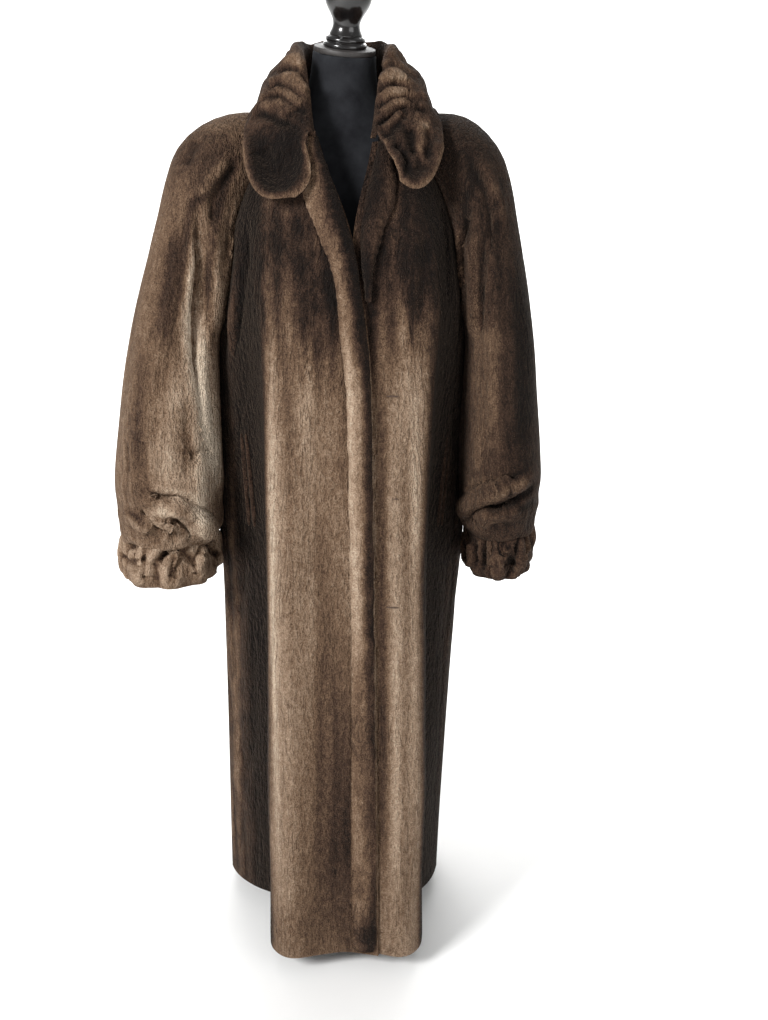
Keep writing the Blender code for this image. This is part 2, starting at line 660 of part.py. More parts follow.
def sheet_solid(name, outer, inner, finish):
    """A closed wall between an outer and an inner grid of points."""
    rows, columns = outer.shape[:2]
    bm = bmesh.new()
    skins = []
    for grid in (outer, inner):
        skins.append([[bm.verts.new(point) for point in row] for row in grid])
    for skin in skins:
        for row in range(rows - 1):
            for col in range(columns - 1):
                bm.faces.new((skin[row][col], skin[row][col + 1],
                              skin[row + 1][col + 1], skin[row + 1][col]))
    rim = [(0, col) for col in range(columns)]
    rim += [(row, columns - 1) for row in range(1, rows)]
    rim += [(rows - 1, col) for col in range(columns - 2, -1, -1)]
    rim += [(row, 0) for row in range(rows - 2, 0, -1)]
    for (row, col), (next_row, next_col) in zip(rim, rim[1:] + rim[:1]):
        bm.faces.new((skins[0][row][col], skins[0][next_row][next_col],
                      skins[1][next_row][next_col], skins[1][row][col]))
    bmesh.ops.recalc_face_normals(bm, faces=bm.faces)
    mesh = bpy.data.meshes.new(name)
    bm.to_mesh(mesh)
    bm.free()
    return finish_object(name, mesh, finish)


def lathe_solid(name, rings, finish, smooth_angle=40.0):
    """A closed solid through a stack of rings of points, with flat ends."""
    bm = bmesh.new()
    loops = [[bm.verts.new(point) for point in ring] for ring in rings]
    count = len(loops[0])
    for lower, upper in zip(loops, loops[1:]):
        for index in range(count):
            following = (index + 1) % count
            bm.faces.new((lower[index], lower[following], upper[following], upper[index]))
    bm.faces.new(loops[0][::-1])
    bm.faces.new(loops[-1])
    bmesh.ops.recalc_face_normals(bm, faces=bm.faces)
    mesh = bpy.data.meshes.new(name)
    bm.to_mesh(mesh)
    bm.free()
    return finish_object(name, mesh, finish, smooth_angle)


def circle(radius, height, steps, centre=(0.0, 0.0)):
    angles = np.linspace(0.0, 2 * math.pi, steps, endpoint=False)
    return [(centre[0] + radius * math.cos(angle), centre[1] + radius * math.sin(angle), height)
            for angle in angles]


def tilted(rings, centre, forward, sideways):
    """Rings turned about a centre: forward towards -Y and sideways towards +X, in degrees."""
    turn = (Matrix.Rotation(math.radians(forward), 3, "X")
            @ Matrix.Rotation(math.radians(sideways), 3, "Y"))
    middle = Vector(centre)
    return [[tuple(turn @ (Vector(point) - middle) + middle) for point in ring] for ring in rings]


# ---------------------------------------------------------------- the pieces

def lift(grid):
    """Raises points from hem heights to world heights."""
    return grid + np.array((0.0, 0.0, HEM_CLEARANCE))


def body_core(grid):
    core = grid.copy()
    core[:, :, :2] = 0.0
    return core


def ring_core(grid):
    return np.broadcast_to(grid.mean(axis=1, keepdims=True), grid.shape)


def build_shell(finishes):
    """The fronts, the back, the sleeves and the cuffs. Returns their grids and normals."""
    grids = {"front_right": front_grid(-1), "front_left": front_grid(1), "back": back_grid()}
    body = tree_of_grids(grids.values())
    for side, name in ((-1, "right"), (1, "left")):
        sleeve = sleeve_grid(side)
        sleeve[YOKE_ROWS:] = settle(sleeve[YOKE_ROWS:], body, SLEEVE_CLEARANCE, 0)
        grids["sleeve_" + name] = sleeve
        grids["cuff_" + name] = cuff_grid(side)
    normals = {}
    for name, grid in grids.items():
        around = body_core(grid) if name.startswith(("front", "back")) else ring_core(grid)
        normals[name] = grid_normals(grid, around)
    share_seam_normals(grids, normals)
    for name, grid in grids.items():
        wall = CUFF_WALL if name.startswith("cuff") else FUR_WALL
        inner = grid - normals[name] * wall
        sheet_solid(name, lift(draw_in(grid, SEAM_GAP / 2)), lift(draw_in(inner, SEAM_GAP / 2)),
                    finishes["fur"])
    return grids, normals


def build_band(name, grid, normals, rows, columns, finish):
    """A lapel or band: the panel's own points moved out, thickest in the middle."""
    base = grid[rows, columns]
    out = normals[rows, columns]
    count = base.shape[1]
    profile = LAPEL_WALL * (0.45 + 0.55 * np.sin(np.linspace(0.0, math.pi, count)))
    profile = profile[None, :, None]
    under = base + out * SEAM_GAP
    over = base + out * (SEAM_GAP + profile)
    sheet_solid(name, lift(draw_in(over, BAND_INSET)), lift(draw_in(under, BAND_INSET)), finish)
    return over


def build_collar(grids, normals, bands, finish):
    grid = collar_grid(neckline(grids, normals))
    shell = [grids[name] for name in ("front_right", "front_left", "sleeve_right", "sleeve_left",
                                      "back")]
    under = tree_of_grids(shell + bands)
    fold = COLLAR_POINTS // 2
    grid = settle_softly(grid, under, COLLAR_WALL + COLLAR_CLEARANCE, fold)
    along = np.gradient(grid, axis=0)
    across = np.gradient(grid, axis=1)
    away = np.cross(across, along)
    away /= np.linalg.norm(away, axis=2, keepdims=True)
    if away[COLLAR_HALF_ROWS - 1, -4, 1] < 0.0:
        away = -away
    away[:, 0, 2] = 0.0            # the seam edge stands square on the coat's neck edge
    away /= np.linalg.norm(away, axis=2, keepdims=True)
    inner = settle(grid - away * COLLAR_WALL, under, COLLAR_CLEARANCE, fold)
    inner[:, :3] = settle(inner[:, :3], under, COLLAR_SEAT, 0)
    sheet_solid("collar", lift(grid), lift(inner), finish)


def build_form(finishes):
    """The limbless form: torso with neck, cap, finial, pole and base."""
    heights = np.linspace(TORSO_BOTTOM_HEIGHT, TORSO_TABLE[-1][0], TORSO_RINGS)
    rings = []
    for height in heights:
        width = float(at_height(TORSO_TABLE, TORSO_COLUMNS, "half_width", height))
        front = float(at_height(TORSO_TABLE, TORSO_COLUMNS, "front", height))
        back = float(at_height(TORSO_TABLE, TORSO_COLUMNS, "back", height))
        middle = (front + back) / 2
        depth = (back - front) / 2
        ring = []
        for angle in np.linspace(0.0, 2 * math.pi, TORSO_SIDES, endpoint=False):
            across = math.copysign(abs(math.cos(angle)) ** 0.9, math.cos(angle))
            deep = math.copysign(abs(math.sin(angle)) ** 0.9, math.sin(angle))
            ring.append((width * across, middle + depth * deep, height + HEM_CLEARANCE))
        rings.append(ring)
    neck_top = (NECK_X, NECK_Y, NECK_TOP_HEIGHT + HEM_CLEARANCE)
    upper = tilted([circle(NECK_RADIUS, neck_top[2], TORSO_SIDES, neck_top[:2])], neck_top,
                   CAP_FORWARD, CAP_SIDEWAYS)
    rings += upper
    lathe_solid("form_torso", rings, finishes["velvet"])

    cap_rings = []
    for radius, rise in CAP_PROFILE:
        cap_rings.append(circle(radius, neck_top[2] + SEAM_GAP + rise, 36, neck_top[:2]))
    lathe_solid("neck_cap", tilted(cap_rings, neck_top, CAP_FORWARD, CAP_SIDEWAYS),
                finishes["cap"])
    finial_rings = []
    start = neck_top[2] + 2 * SEAM_GAP + CAP_THICKNESS
    for radius, rise in FINIAL_PROFILE:
        finial_rings.append(circle(radius, start + rise, 20, neck_top[:2]))
    lathe_solid("finial", tilted(finial_rings, neck_top, CAP_FORWARD, CAP_SIDEWAYS),
                finishes["finial"])

    torso_bottom = TORSO_BOTTOM_HEIGHT + HEM_CLEARANCE
    pole = [circle(POLE_RADIUS, height, 24)
            for height in (BASE_THICKNESS + SEAM_GAP, torso_bottom - SEAM_GAP)]
    lathe_solid("pole", pole, finishes["stand"])
    base = [circle(BASE_RADIUS * share, height, 40) for share, height in BASE_PROFILE]
    lathe_solid("base", base, finishes["stand"])


def build_pocket_lips(name, grid, normals, finish):
    """Two narrow rolled lips along a slit pocket in the side fold of a front."""
    for index, (near, far) in enumerate(((0.08, 0.46), (0.54, 0.92))):
        strips = []
        outs = []
        for share in (near, (near + far) / 2, far):
            columns = (POCKET_COLUMN, POCKET_COLUMN + 1)
            strips.append(grid[POCKET_ROWS, columns[0]] * (1 - share)
                          + grid[POCKET_ROWS, columns[1]] * share)
            outs.append(normals[POCKET_ROWS, columns[0]] * (1 - share)
                        + normals[POCKET_ROWS, columns[1]] * share)
        base = np.stack(strips, axis=1)
        out = np.stack(outs, axis=1)
        profile = POCKET_LIP * np.array((0.35, 1.0, 0.35))[None, :, None]
        under = base + out * POCKET_SEAT
        over = base + out * (POCKET_SEAT + profile)
        sheet_solid(f"{name}_{('front', 'back')[index]}_lip", lift(over), lift(under), finish)


def build_eyes(finish):
    """Thread bars on the left front, into which the hooks of the right front go."""
    panel = bpy.data.objects["front_left"]
    tree = BVHTree.FromPolygons([vertex.co for vertex in panel.data.vertices],
                                [face.vertices for face in panel.data.polygons])
    for index, height in enumerate(EYE_HEIGHTS):
        rings = []
        for share in np.linspace(-1.0, 1.0, 5):
            x = EYE_X + share * EYE_LENGTH / 2
            place = tree.ray_cast(Vector((x, -1.0, height + HEM_CLEARANCE)),
                                  Vector((0.0, 1.0, 0.0)))[0]
            radius = EYE_RADIUS * (1.0 - 0.35 * abs(share))
            centre = place - Vector((0.0, 1.0, 0.0)) * (EYE_RADIUS * 1.05 + SEAM_GAP)
            rings.append([(centre.x, centre.y + radius * math.sin(angle),
                           centre.z + radius * math.cos(angle))
                          for angle in np.linspace(0.0, 2 * math.pi, 6, endpoint=False)])
        lathe_solid(f"eye_{index + 1}", rings, finish)


def clear_scene():
    for thing in list(bpy.data.objects):
        bpy.data.objects.remove(thing, do_unlink=True)


def main():
    clear_scene()
    finishes = {
        "fur": material("sheared_beaver", (0.20, 0.13, 0.09), 0.85),
        "velvet": material("black_velvet", (0.010, 0.010, 0.012), 0.95),
        "cap": material("satin_cap", (0.045, 0.038, 0.034), 0.45),
        "finial": material("black_lacquer", (0.012, 0.012, 0.014), 0.18),
        "stand": material("painted_steel", (0.020, 0.020, 0.022), 0.40, 0.3),
        "thread": material("dark_thread", (0.030, 0.020, 0.016), 0.80),
    }
    grids, normals = build_shell(finishes)
    rows = {"right": slice(0, SKIRT_ROWS + YOKE_ROWS - 1),
            "left": slice(SKIRT_ROWS, SKIRT_ROWS + YOKE_ROWS - 1)}
    columns = {"right": slice(0, BAND_COLUMNS), "left": slice(1, BAND_COLUMNS + 1)}
    bands = []
    for name, piece in (("right", "lapel_band_right"), ("left", "lapel_left")):
        bands.append(build_band(piece, grids["front_" + name], normals["front_" + name],
                                rows[name], columns[name], finishes["fur"]))
    build_collar(grids, normals, bands, finishes["fur"])
    for name in ("right", "left"):
        build_pocket_lips("pocket_" + name, grids["front_" + name], normals["front_" + name],
                          finishes["fur"])
    build_eyes(finishes["thread"])
    build_form(finishes)


main()
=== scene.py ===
# Sheared beaver coat with raglan bishop sleeves on a velvet dress form
import math

import bmesh
import bpy
import numpy as np
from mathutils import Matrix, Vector, noise
from mathutils.bvhtree import BVHTree
from mathutils.kdtree import KDTree


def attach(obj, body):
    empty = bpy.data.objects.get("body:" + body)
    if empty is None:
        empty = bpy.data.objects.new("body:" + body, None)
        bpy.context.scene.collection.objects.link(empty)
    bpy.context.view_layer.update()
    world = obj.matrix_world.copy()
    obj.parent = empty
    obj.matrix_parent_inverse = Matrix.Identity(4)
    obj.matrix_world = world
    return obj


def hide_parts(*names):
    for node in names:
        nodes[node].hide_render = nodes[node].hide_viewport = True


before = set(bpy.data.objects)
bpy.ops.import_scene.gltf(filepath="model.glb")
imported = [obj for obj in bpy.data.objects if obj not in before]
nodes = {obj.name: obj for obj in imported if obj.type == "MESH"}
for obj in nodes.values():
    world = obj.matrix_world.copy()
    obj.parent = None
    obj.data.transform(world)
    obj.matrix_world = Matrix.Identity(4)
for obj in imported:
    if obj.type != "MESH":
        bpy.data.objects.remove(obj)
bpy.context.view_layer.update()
print("frame loaded,", len(nodes), "nodes")

# camera at the photo's angle: slightly above the collar, looking down at the skirt
cameraSettings = {"place": (0.060, -1.910, 1.182), "downDegrees": 14.7, "lens": 44.1, "sensor": 36.0}
cameraData = bpy.data.cameras.new("photoCamera")
cameraData.sensor_fit = "VERTICAL"
cameraData.sensor_height = cameraSettings["sensor"]
cameraData.lens = cameraSettings["lens"]
photoCamera = bpy.data.objects.new("photoCamera", cameraData)
bpy.context.scene.collection.objects.link(photoCamera)
photoCamera.location = cameraSettings["place"]
photoCamera.rotation_euler = (math.radians(90 - cameraSettings["downDegrees"]), 0, 0)
bpy.context.scene.camera = photoCamera


# small helpers
rimBand = 0.014      # metres from an open rim within which a push fades out


def hexLinear(hexColour):
    parts = [int(hexColour[k:k + 2], 16) / 255 for k in (1, 3, 5)]
    linear = [c / 12.92 if c <= 0.04045 else ((c + 0.055) / 1.055) ** 2.4 for c in parts]
    return (*linear, 1.0)


def onlySelect(piece):
    bpy.ops.object.select_all(action="DESELECT")
    bpy.context.view_layer.objects.active = piece
    piece.select_set(True)


def applyModifier(piece, kind, **settings):
    onlySelect(piece)
    modifier = piece.modifiers.new(kind.lower(), kind)
    for key, value in settings.items():
        setattr(modifier, key, value)
    bpy.ops.object.modifier_apply(modifier=modifier.name)


def readPoints(piece):
    points = np.empty(len(piece.data.vertices) * 3)
    piece.data.vertices.foreach_get("co", points)
    return points.reshape(-1, 3)


def writePoints(piece, points):
    piece.data.vertices.foreach_set("co", np.ascontiguousarray(points).ravel())
    piece.data.update()


def readNormals(piece):
    normals = np.empty(len(piece.data.vertices) * 3)
    piece.data.vertex_normals.foreach_get("vector", normals)
    return normals.reshape(-1, 3)


def softStep(low, high, value):
    share = np.clip((value - low) / (high - low), 0.0, 1.0)
    return share * share * (3.0 - 2.0 * share)


def noiseAt(points, size, seed):
    # smooth noise about -1 to 1, with lumps of a size in metres, given for each axis
    scaled = points / np.array(size) + seed * 7.31
    return np.array([noise.noise(Vector(place)) for place in scaled])


def twoNoises(points, firstSize, firstShare, secondSize, secondShare, seed):
    first = noiseAt(points, firstSize, seed) * firstShare
    return first + noiseAt(points, secondSize, seed + 1.0) * secondShare


# pieces start as merged copies of the CAD solids

def startFromNode(name, node):
    mesh = nodes[node].data.copy()
    mesh.name = name
    mesh.materials.clear()
    piece = bpy.data.objects.new(name, mesh)
    bpy.context.scene.collection.objects.link(piece)
    onlySelect(piece)
    bpy.ops.object.mode_set(mode="EDIT")
    bpy.ops.mesh.select_all(action="SELECT")
    bpy.ops.mesh.remove_doubles(threshold=0.00001)
    bpy.ops.mesh.tris_convert_to_quads(face_threshold=math.pi, shape_threshold=math.pi)
    bpy.ops.object.mode_set(mode="OBJECT")
    return piece


def keepOuterSkin(piece, sharpDegrees=47.0):
    # the largest run of faces without a sharp edge is the fur side of the wall
    onlySelect(piece)
    bpy.ops.object.mode_set(mode="EDIT")
    sheet = bmesh.from_edit_mesh(piece.data)
    seen = set()
    best = (0.0, set())
    for first in sheet.faces:
        if first in seen:
            continue
        seen.add(first)
        stack = [first]
        island = set()
        while stack:
            face = stack.pop()
            island.add(face)
            for edge in face.edges:
                if edge.calc_face_angle(math.pi) > math.radians(sharpDegrees):
                    continue
                for other in edge.link_faces:
                    if other not in seen:
                        seen.add(other)
                        stack.append(other)
        area = sum(face.calc_area() for face in island)
        if area > best[0]:
            best = (area, island)
    for face in sheet.faces:
        face.select_set(face not in best[1])
    bmesh.update_edit_mesh(piece.data)
    bpy.ops.mesh.delete(type="FACE")
    bpy.ops.mesh.select_all(action="SELECT")
    bpy.ops.mesh.remove_doubles(threshold=0.0005)      # closes a sleeve's underarm seam
    bpy.ops.object.mode_set(mode="OBJECT")


def selectEdges(piece, wanted):
    # selects the edges of a piece in edit mode that pass a test, and counts them
    sheet = bmesh.from_edit_mesh(piece.data)
    found = [edge for edge in sheet.edges if wanted(edge)]
    for edge in found:
        edge.select_set(True)
    bmesh.update_edit_mesh(piece.data)
    return len(found)


def refine(piece, longest):
    # rounds the coarse grid, halves the edges that are still long, and rounds it again
    applyModifier(piece, "SUBSURF", levels=1, render_levels=1, boundary_smooth="PRESERVE_CORNERS")
    onlySelect(piece)
    for _ in range(4):
        bpy.ops.object.mode_set(mode="EDIT")
        bpy.ops.mesh.select_mode(type="EDGE")
        bpy.ops.mesh.select_all(action="DESELECT")
        count = selectEdges(piece, lambda edge: edge.calc_length() > longest)
        if count:
            bpy.ops.mesh.subdivide(number_cuts=1)
        bpy.ops.object.mode_set(mode="OBJECT")
        if not count:
            break
    applyModifier(piece, "SUBSURF", levels=1, render_levels=1, boundary_smooth="PRESERVE_CORNERS")


def surfaceFinders(others):
    # one search tree for the faces of each piece
    return [BVHTree.FromObject(other, bpy.context.evaluated_depsgraph_get()) for other in others]


def pathOnPiece(piece, path, side):
    # places given as x and z in millimetres, laid on the piece from its front (-1) or back (1)
    finder = surfaceFinders([piece])[0]
    laid = []
    for x, z in path:
        hit = finder.ray_cast(Vector((x / 1000, side * 1.0, z / 1000)), Vector((0, -side, 0)))[0]
        if hit is not None:
            laid.append(np.array(hit))
    dense = []
    for start, end in zip(laid, laid[1:]):
        steps = max(2, int(np.linalg.norm(end - start) / 0.005))
        dense += [start + (end - start) * k / steps for k in range(steps)]
    return np.array(dense + laid[-1:])


def creasePush(points, line, width, fade=0.16):
    # how strongly each point feels a crease: 1 on its line, fading across it and at its ends
    strength = np.zeros(len(points))
    low, high = line.min(axis=0) - width * 3, line.max(axis=0) + width * 3
    near = np.where(np.all((points > low) & (points < high), axis=1))[0]
    if not len(near):
        return strength
    for block in np.array_split(near, max(1, len(near) // 4000)):
        gaps = np.linalg.norm(points[block][:, None, :] - line[None, :, :], axis=2)
        best = gaps.argmin(axis=1)
        share = best / max(1, len(line) - 1)
        ends = softStep(0.0, fade, share) * softStep(1.0, 1.0 - fade, share)
        strength[block] = np.exp(-(gaps[np.arange(len(block)), best] / width) ** 2) * (0.15 + 0.85 * ends)
    return strength


def pushOut(piece, push, holdRims=True):
    # moves the skin along its normals, less and less toward its rims where seams have to stay shut
    steady = softStep(0.0, rimBand, rimDistance(piece)) if holdRims else 1.0
    writePoints(piece, readPoints(piece) + readNormals(piece) * (push * steady)[:, None])


def pressCreases(piece, creases, side, share=1.0, narrow=1.0, fade=0.16, holdRims=True):
    # troughs (less than 0) and ridges, each depth and half width in millimetres and a path
    for depth, width, path in creases:
        line = pathOnPiece(piece, path, side)
        if len(line) > 1:
            push = creasePush(readPoints(piece), line, width / 1000 * narrow, fade) * depth / 1000 * share
            pushOut(piece, push, holdRims)


def tuckRims(piece, shareAt, out=0.0050, under=0.0006):
    # the seam edges run on a little and roll under, so that seams between pieces stay shut
    onlySelect(piece)
    sheet = bmesh.new()
    sheet.from_mesh(piece.data)
    moves = []
    for corner in sheet.verts:
        share = shareAt(corner.co) if corner.is_boundary else 0.0
        if share:
            inner = sum((face.calc_center_median() for face in corner.link_faces), Vector())
            away = corner.co - inner / len(corner.link_faces)
            away -= corner.normal * away.dot(corner.normal)
            if away.length > 1e-6:
                moves.append((corner, (away.normalized() * out - corner.normal * under) * share))
    for corner, move in moves:
        corner.co += move
    sheet.to_mesh(piece.data)
    sheet.free()
    piece.data.update()


def ruffle(piece, height, size, seed):
    # uneven low swells; height and size in metres
    pushOut(piece, noiseAt(readPoints(piece), size, seed) * height)


def puffs(points, size, seed):
    # rounded lumps with sharp creases between them, -0.6 in a crease and 0.4 on a lump
    return np.minimum(np.abs(noiseAt(points, size, seed)) * 3.2, 1.0) ** 0.8 - 0.6


def distanceTo(places, points):
    # how far each point is from the nearest of some places
    finder = KDTree(len(places))
    for k, place in enumerate(places):
        finder.insert(place, k)
    finder.balance()
    return np.array([finder.find(Vector(point))[2] for point in points])


def rimDistance(piece, keep=None):
    # how far each point is from the open rim of its skin
    onlySelect(piece)
    sheet = bmesh.new()
    sheet.from_mesh(piece.data)
    rim = [v.co.copy() for v in sheet.verts if v.is_boundary and (keep is None or keep(v.co))]
    sheet.free()
    return distanceTo(rim, readPoints(piece))


def keepClear(piece, others, gap, holdRims=True):
    # lifts points that come nearer than a gap to pieces made before
    finders = surfaceFinders(others)
    steady = softStep(0.0, rimBand, rimDistance(piece)) if holdRims else np.ones(len(piece.data.vertices))
    for _ in range(3):
        points = readPoints(piece)
        for k, place in enumerate(points):
            for finder in finders:
                near, normal = finder.find_nearest(Vector(place), 0.02)[:2]
                if near is None:
                    continue
                height = (Vector(place) - near).dot(normal)
                if height < gap:
                    points[k] += np.array(normal) * min(gap - height, 0.006) * steady[k]
        writePoints(piece, points)


def dropOnto(piece, others, share, gap):
    # lowers points onto the pieces made before that lie up to 30 mm under them
    finders = surfaceFinders(others)
    points = readPoints(piece)
    for k in np.where(share > 0.0)[0]:
        hits = [finder.ray_cast(Vector(points[k]), Vector((0, 0, -1)), 0.03)[0] for finder in finders]
        heights = [points[k, 2] - hit.z for hit in hits if hit is not None]
        if heights:
            height = min(heights)
            points[k, 2] -= max(0.0, height - gap) * softStep(0.030, 0.018, height) * share[k]
    writePoints(piece, points)


def neighbourMeans(piece, points, rounds, share=1.0):
    # each point drawn toward the mean of the points around it, a number of times
    edges = np.empty(len(piece.data.edges) * 2, dtype=np.int64)
    piece.data.edges.foreach_get("vertices", edges)
    edges = edges.reshape(-1, 2)
    count = np.maximum(np.bincount(edges.ravel(), minlength=len(points)), 1)[:, None]
    mean = points.copy()
    for _ in range(rounds):
        total = np.zeros_like(mean)
        for axis in range(3):
            total[:, axis] = (np.bincount(edges[:, 0], mean[edges[:, 1], axis], len(points))
                              + np.bincount(edges[:, 1], mean[edges[:, 0], axis], len(points)))
        mean = mean + (total / count - mean) * share
    return mean


def hollowness(piece, rounds):
    # how deep each point lies below the mean of the points around it, in metres
    points = readPoints(piece)
    return np.sum((neighbourMeans(piece, points, rounds) - points) * readNormals(piece), axis=1)


def giveWall(piece, thickness, roundness=0.0024):
    # the skin side of the pelt, then thick rounded fur edges
    applyModifier(piece, "SOLIDIFY", thickness=thickness, offset=-1.0, use_quality_normals=True)
    applyModifier(piece, "BEVEL", limit_method="ANGLE", angle_limit=math.radians(62), width=roundness,
                  segments=3, use_clamp_overlap=True)
    onlySelect(piece)
    bpy.ops.object.shade_smooth()


def paintTone(piece, base, patches, creases=(), side=-1, relief=45.0, strokes=(), creaseShading=1.0,
              parting=0.4):
    # how light the pile is drawn, 0 to 1, kept on the points: soft places and strokes, which hold the
    # pelt's streaks with painted shade and highlights, then painted shade in the hollows and painted
    # highlight on ridges
    points = readPoints(piece)
    tone = base(points) if callable(base) else np.full(len(points), base)
    # painted shade: the deeper a point lies in a hollow the darker, and ridges painted lighter as
    # highlights
    tone = tone - np.clip(hollowness(piece, 8) * relief, -0.16, 0.30)
    for x, z, halfWidth, halfHeight, amount in patches:
        reach = ((points[:, 0] * 1000 - x) / halfWidth) ** 2 + ((points[:, 2] * 1000 - z) / halfHeight) ** 2
        onSide = softStep(0.06, 0.0, side * -points[:, 1]) if side else 1.0
        tone = tone + amount * np.exp(-reach) * onSide
    # painted shade in the troughs of the creases and painted highlight along their ridges
    for depth, width, path in creases:
        line = pathOnPiece(piece, path, side)
        if len(line) > 1:
            weight = 0.026 if depth < 0 else 0.009      # a trough darkens more than a ridge lightens
            tone = tone + creasePush(points, line, width / 1000) * depth * weight * creaseShading
    for amount, width, path in strokes:
        line = pathOnPiece(piece, path, side)
        if len(line) > 1:
            tone = tone + creasePush(points, line, width / 1000, 0.22) * amount
    layer = piece.data.attributes.new("pileToneWithShade", "FLOAT", "POINT")
    layer.data.foreach_set("value", np.clip(tone, 0.0, 1.0))
    # and how far the pile parts into cracks, 0 to 1
    parted = parting(points) if callable(parting) else np.full(len(points), parting)
    layer = piece.data.attributes.new("pileParting", "FLOAT", "POINT")
    layer.data.foreach_set("value", np.clip(parted, 0.0, 1.0))


def finishPiece(piece, material, node):
    piece.data.materials.clear()
    piece.data.materials.append(material)
    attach(piece, "root")
    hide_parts(*([node] if isinstance(node, str) else node))
    print("made", piece.name, len(piece.data.polygons), "faces")


# materials

def addNode(tree, kind, settings=None, links=None):
    # one shader node, its sockets or properties set by name, and its inputs linked
    node = tree.nodes.new(kind)
    for key, value in (settings or {}).items():
        if isinstance(key, int) or key in node.inputs:
            node.inputs[key].default_value = value
        else:
            setattr(node, key, value)
    for key, source in (links or {}).items():
        tree.links.new(source, node.inputs[key])
    return node


def startMaterial(name):
    made = bpy.data.materials.new(name)
    made.use_nodes = True
    tree = made.node_tree
    shader = tree.nodes["Principled BSDF"]
    return made, tree, shader


def fillRamp(ramp, stops):
    elements = ramp.color_ramp.elements
    while len(elements) > 1:
        elements.remove(elements[-1])
    elements[0].position = stops[0][0]
    elements[0].color = hexLinear(stops[0][1])
    for place, colour in stops[1:]:
        elements.new(place).color = hexLinear(colour)


def patternMaterial(name, kind, pattern, stops, surface, relief=None):
    # colours follow a pattern in Object coordinates; relief is a strength, a height and a pattern
    made, tree, shader = startMaterial(name)
    place = addNode(tree, "ShaderNodeTexCoord").outputs["Object"]
    source = addNode(tree, kind, pattern, {"Vector": place})
    ramp = addNode(tree, "ShaderNodeValToRGB", {}, {"Fac": source.outputs["Fac"]})
    fillRamp(ramp, stops)
    tree.links.new(ramp.outputs["Color"], shader.inputs["Base Color"])
    if relief:
        strength, height, reliefPattern = relief
        raised = addNode(tree, kind, reliefPattern, {"Vector": place})
        bump = addNode(tree, "ShaderNodeBump", {"Strength": strength, "Distance": height},
                       {"Height": raised.outputs["Fac"]})
        tree.links.new(bump.outputs[0], shader.inputs["Normal"])
    for key, value in surface.items():
        shader.inputs[key].default_value = value
    return made


# Beaver pelt, plucked and sheared to an even pile of about 5 mm: dense and matt, dark along the
# middle of each pelt and taupe at its sides, with fine cracks where the pile parts along its lie.
# the colours run from the near-black of the painted shade to the palest pelt
pileSettings = {"colours": ((0.00, "#0b0706"), (0.16, "#1d130e"), (0.34, "#3f2e24"), (0.52, "#67513f"),
                            (0.70, "#917b67"), (0.86, "#b5a18c"), (1.00, "#cdbca7")),
                # how much each pattern moves the tone, and how much the last two raise the pile
                "streak": 0.16, "mottle": 0.15, "tuft": 0.24, "grain": 0.42,
                "tuftRelief": 3.2, "grainRelief": 1.7, "relief": 0.9,
                "roughness": 0.92, "sheen": 0.12, "sheenTint": "#b39a84"}


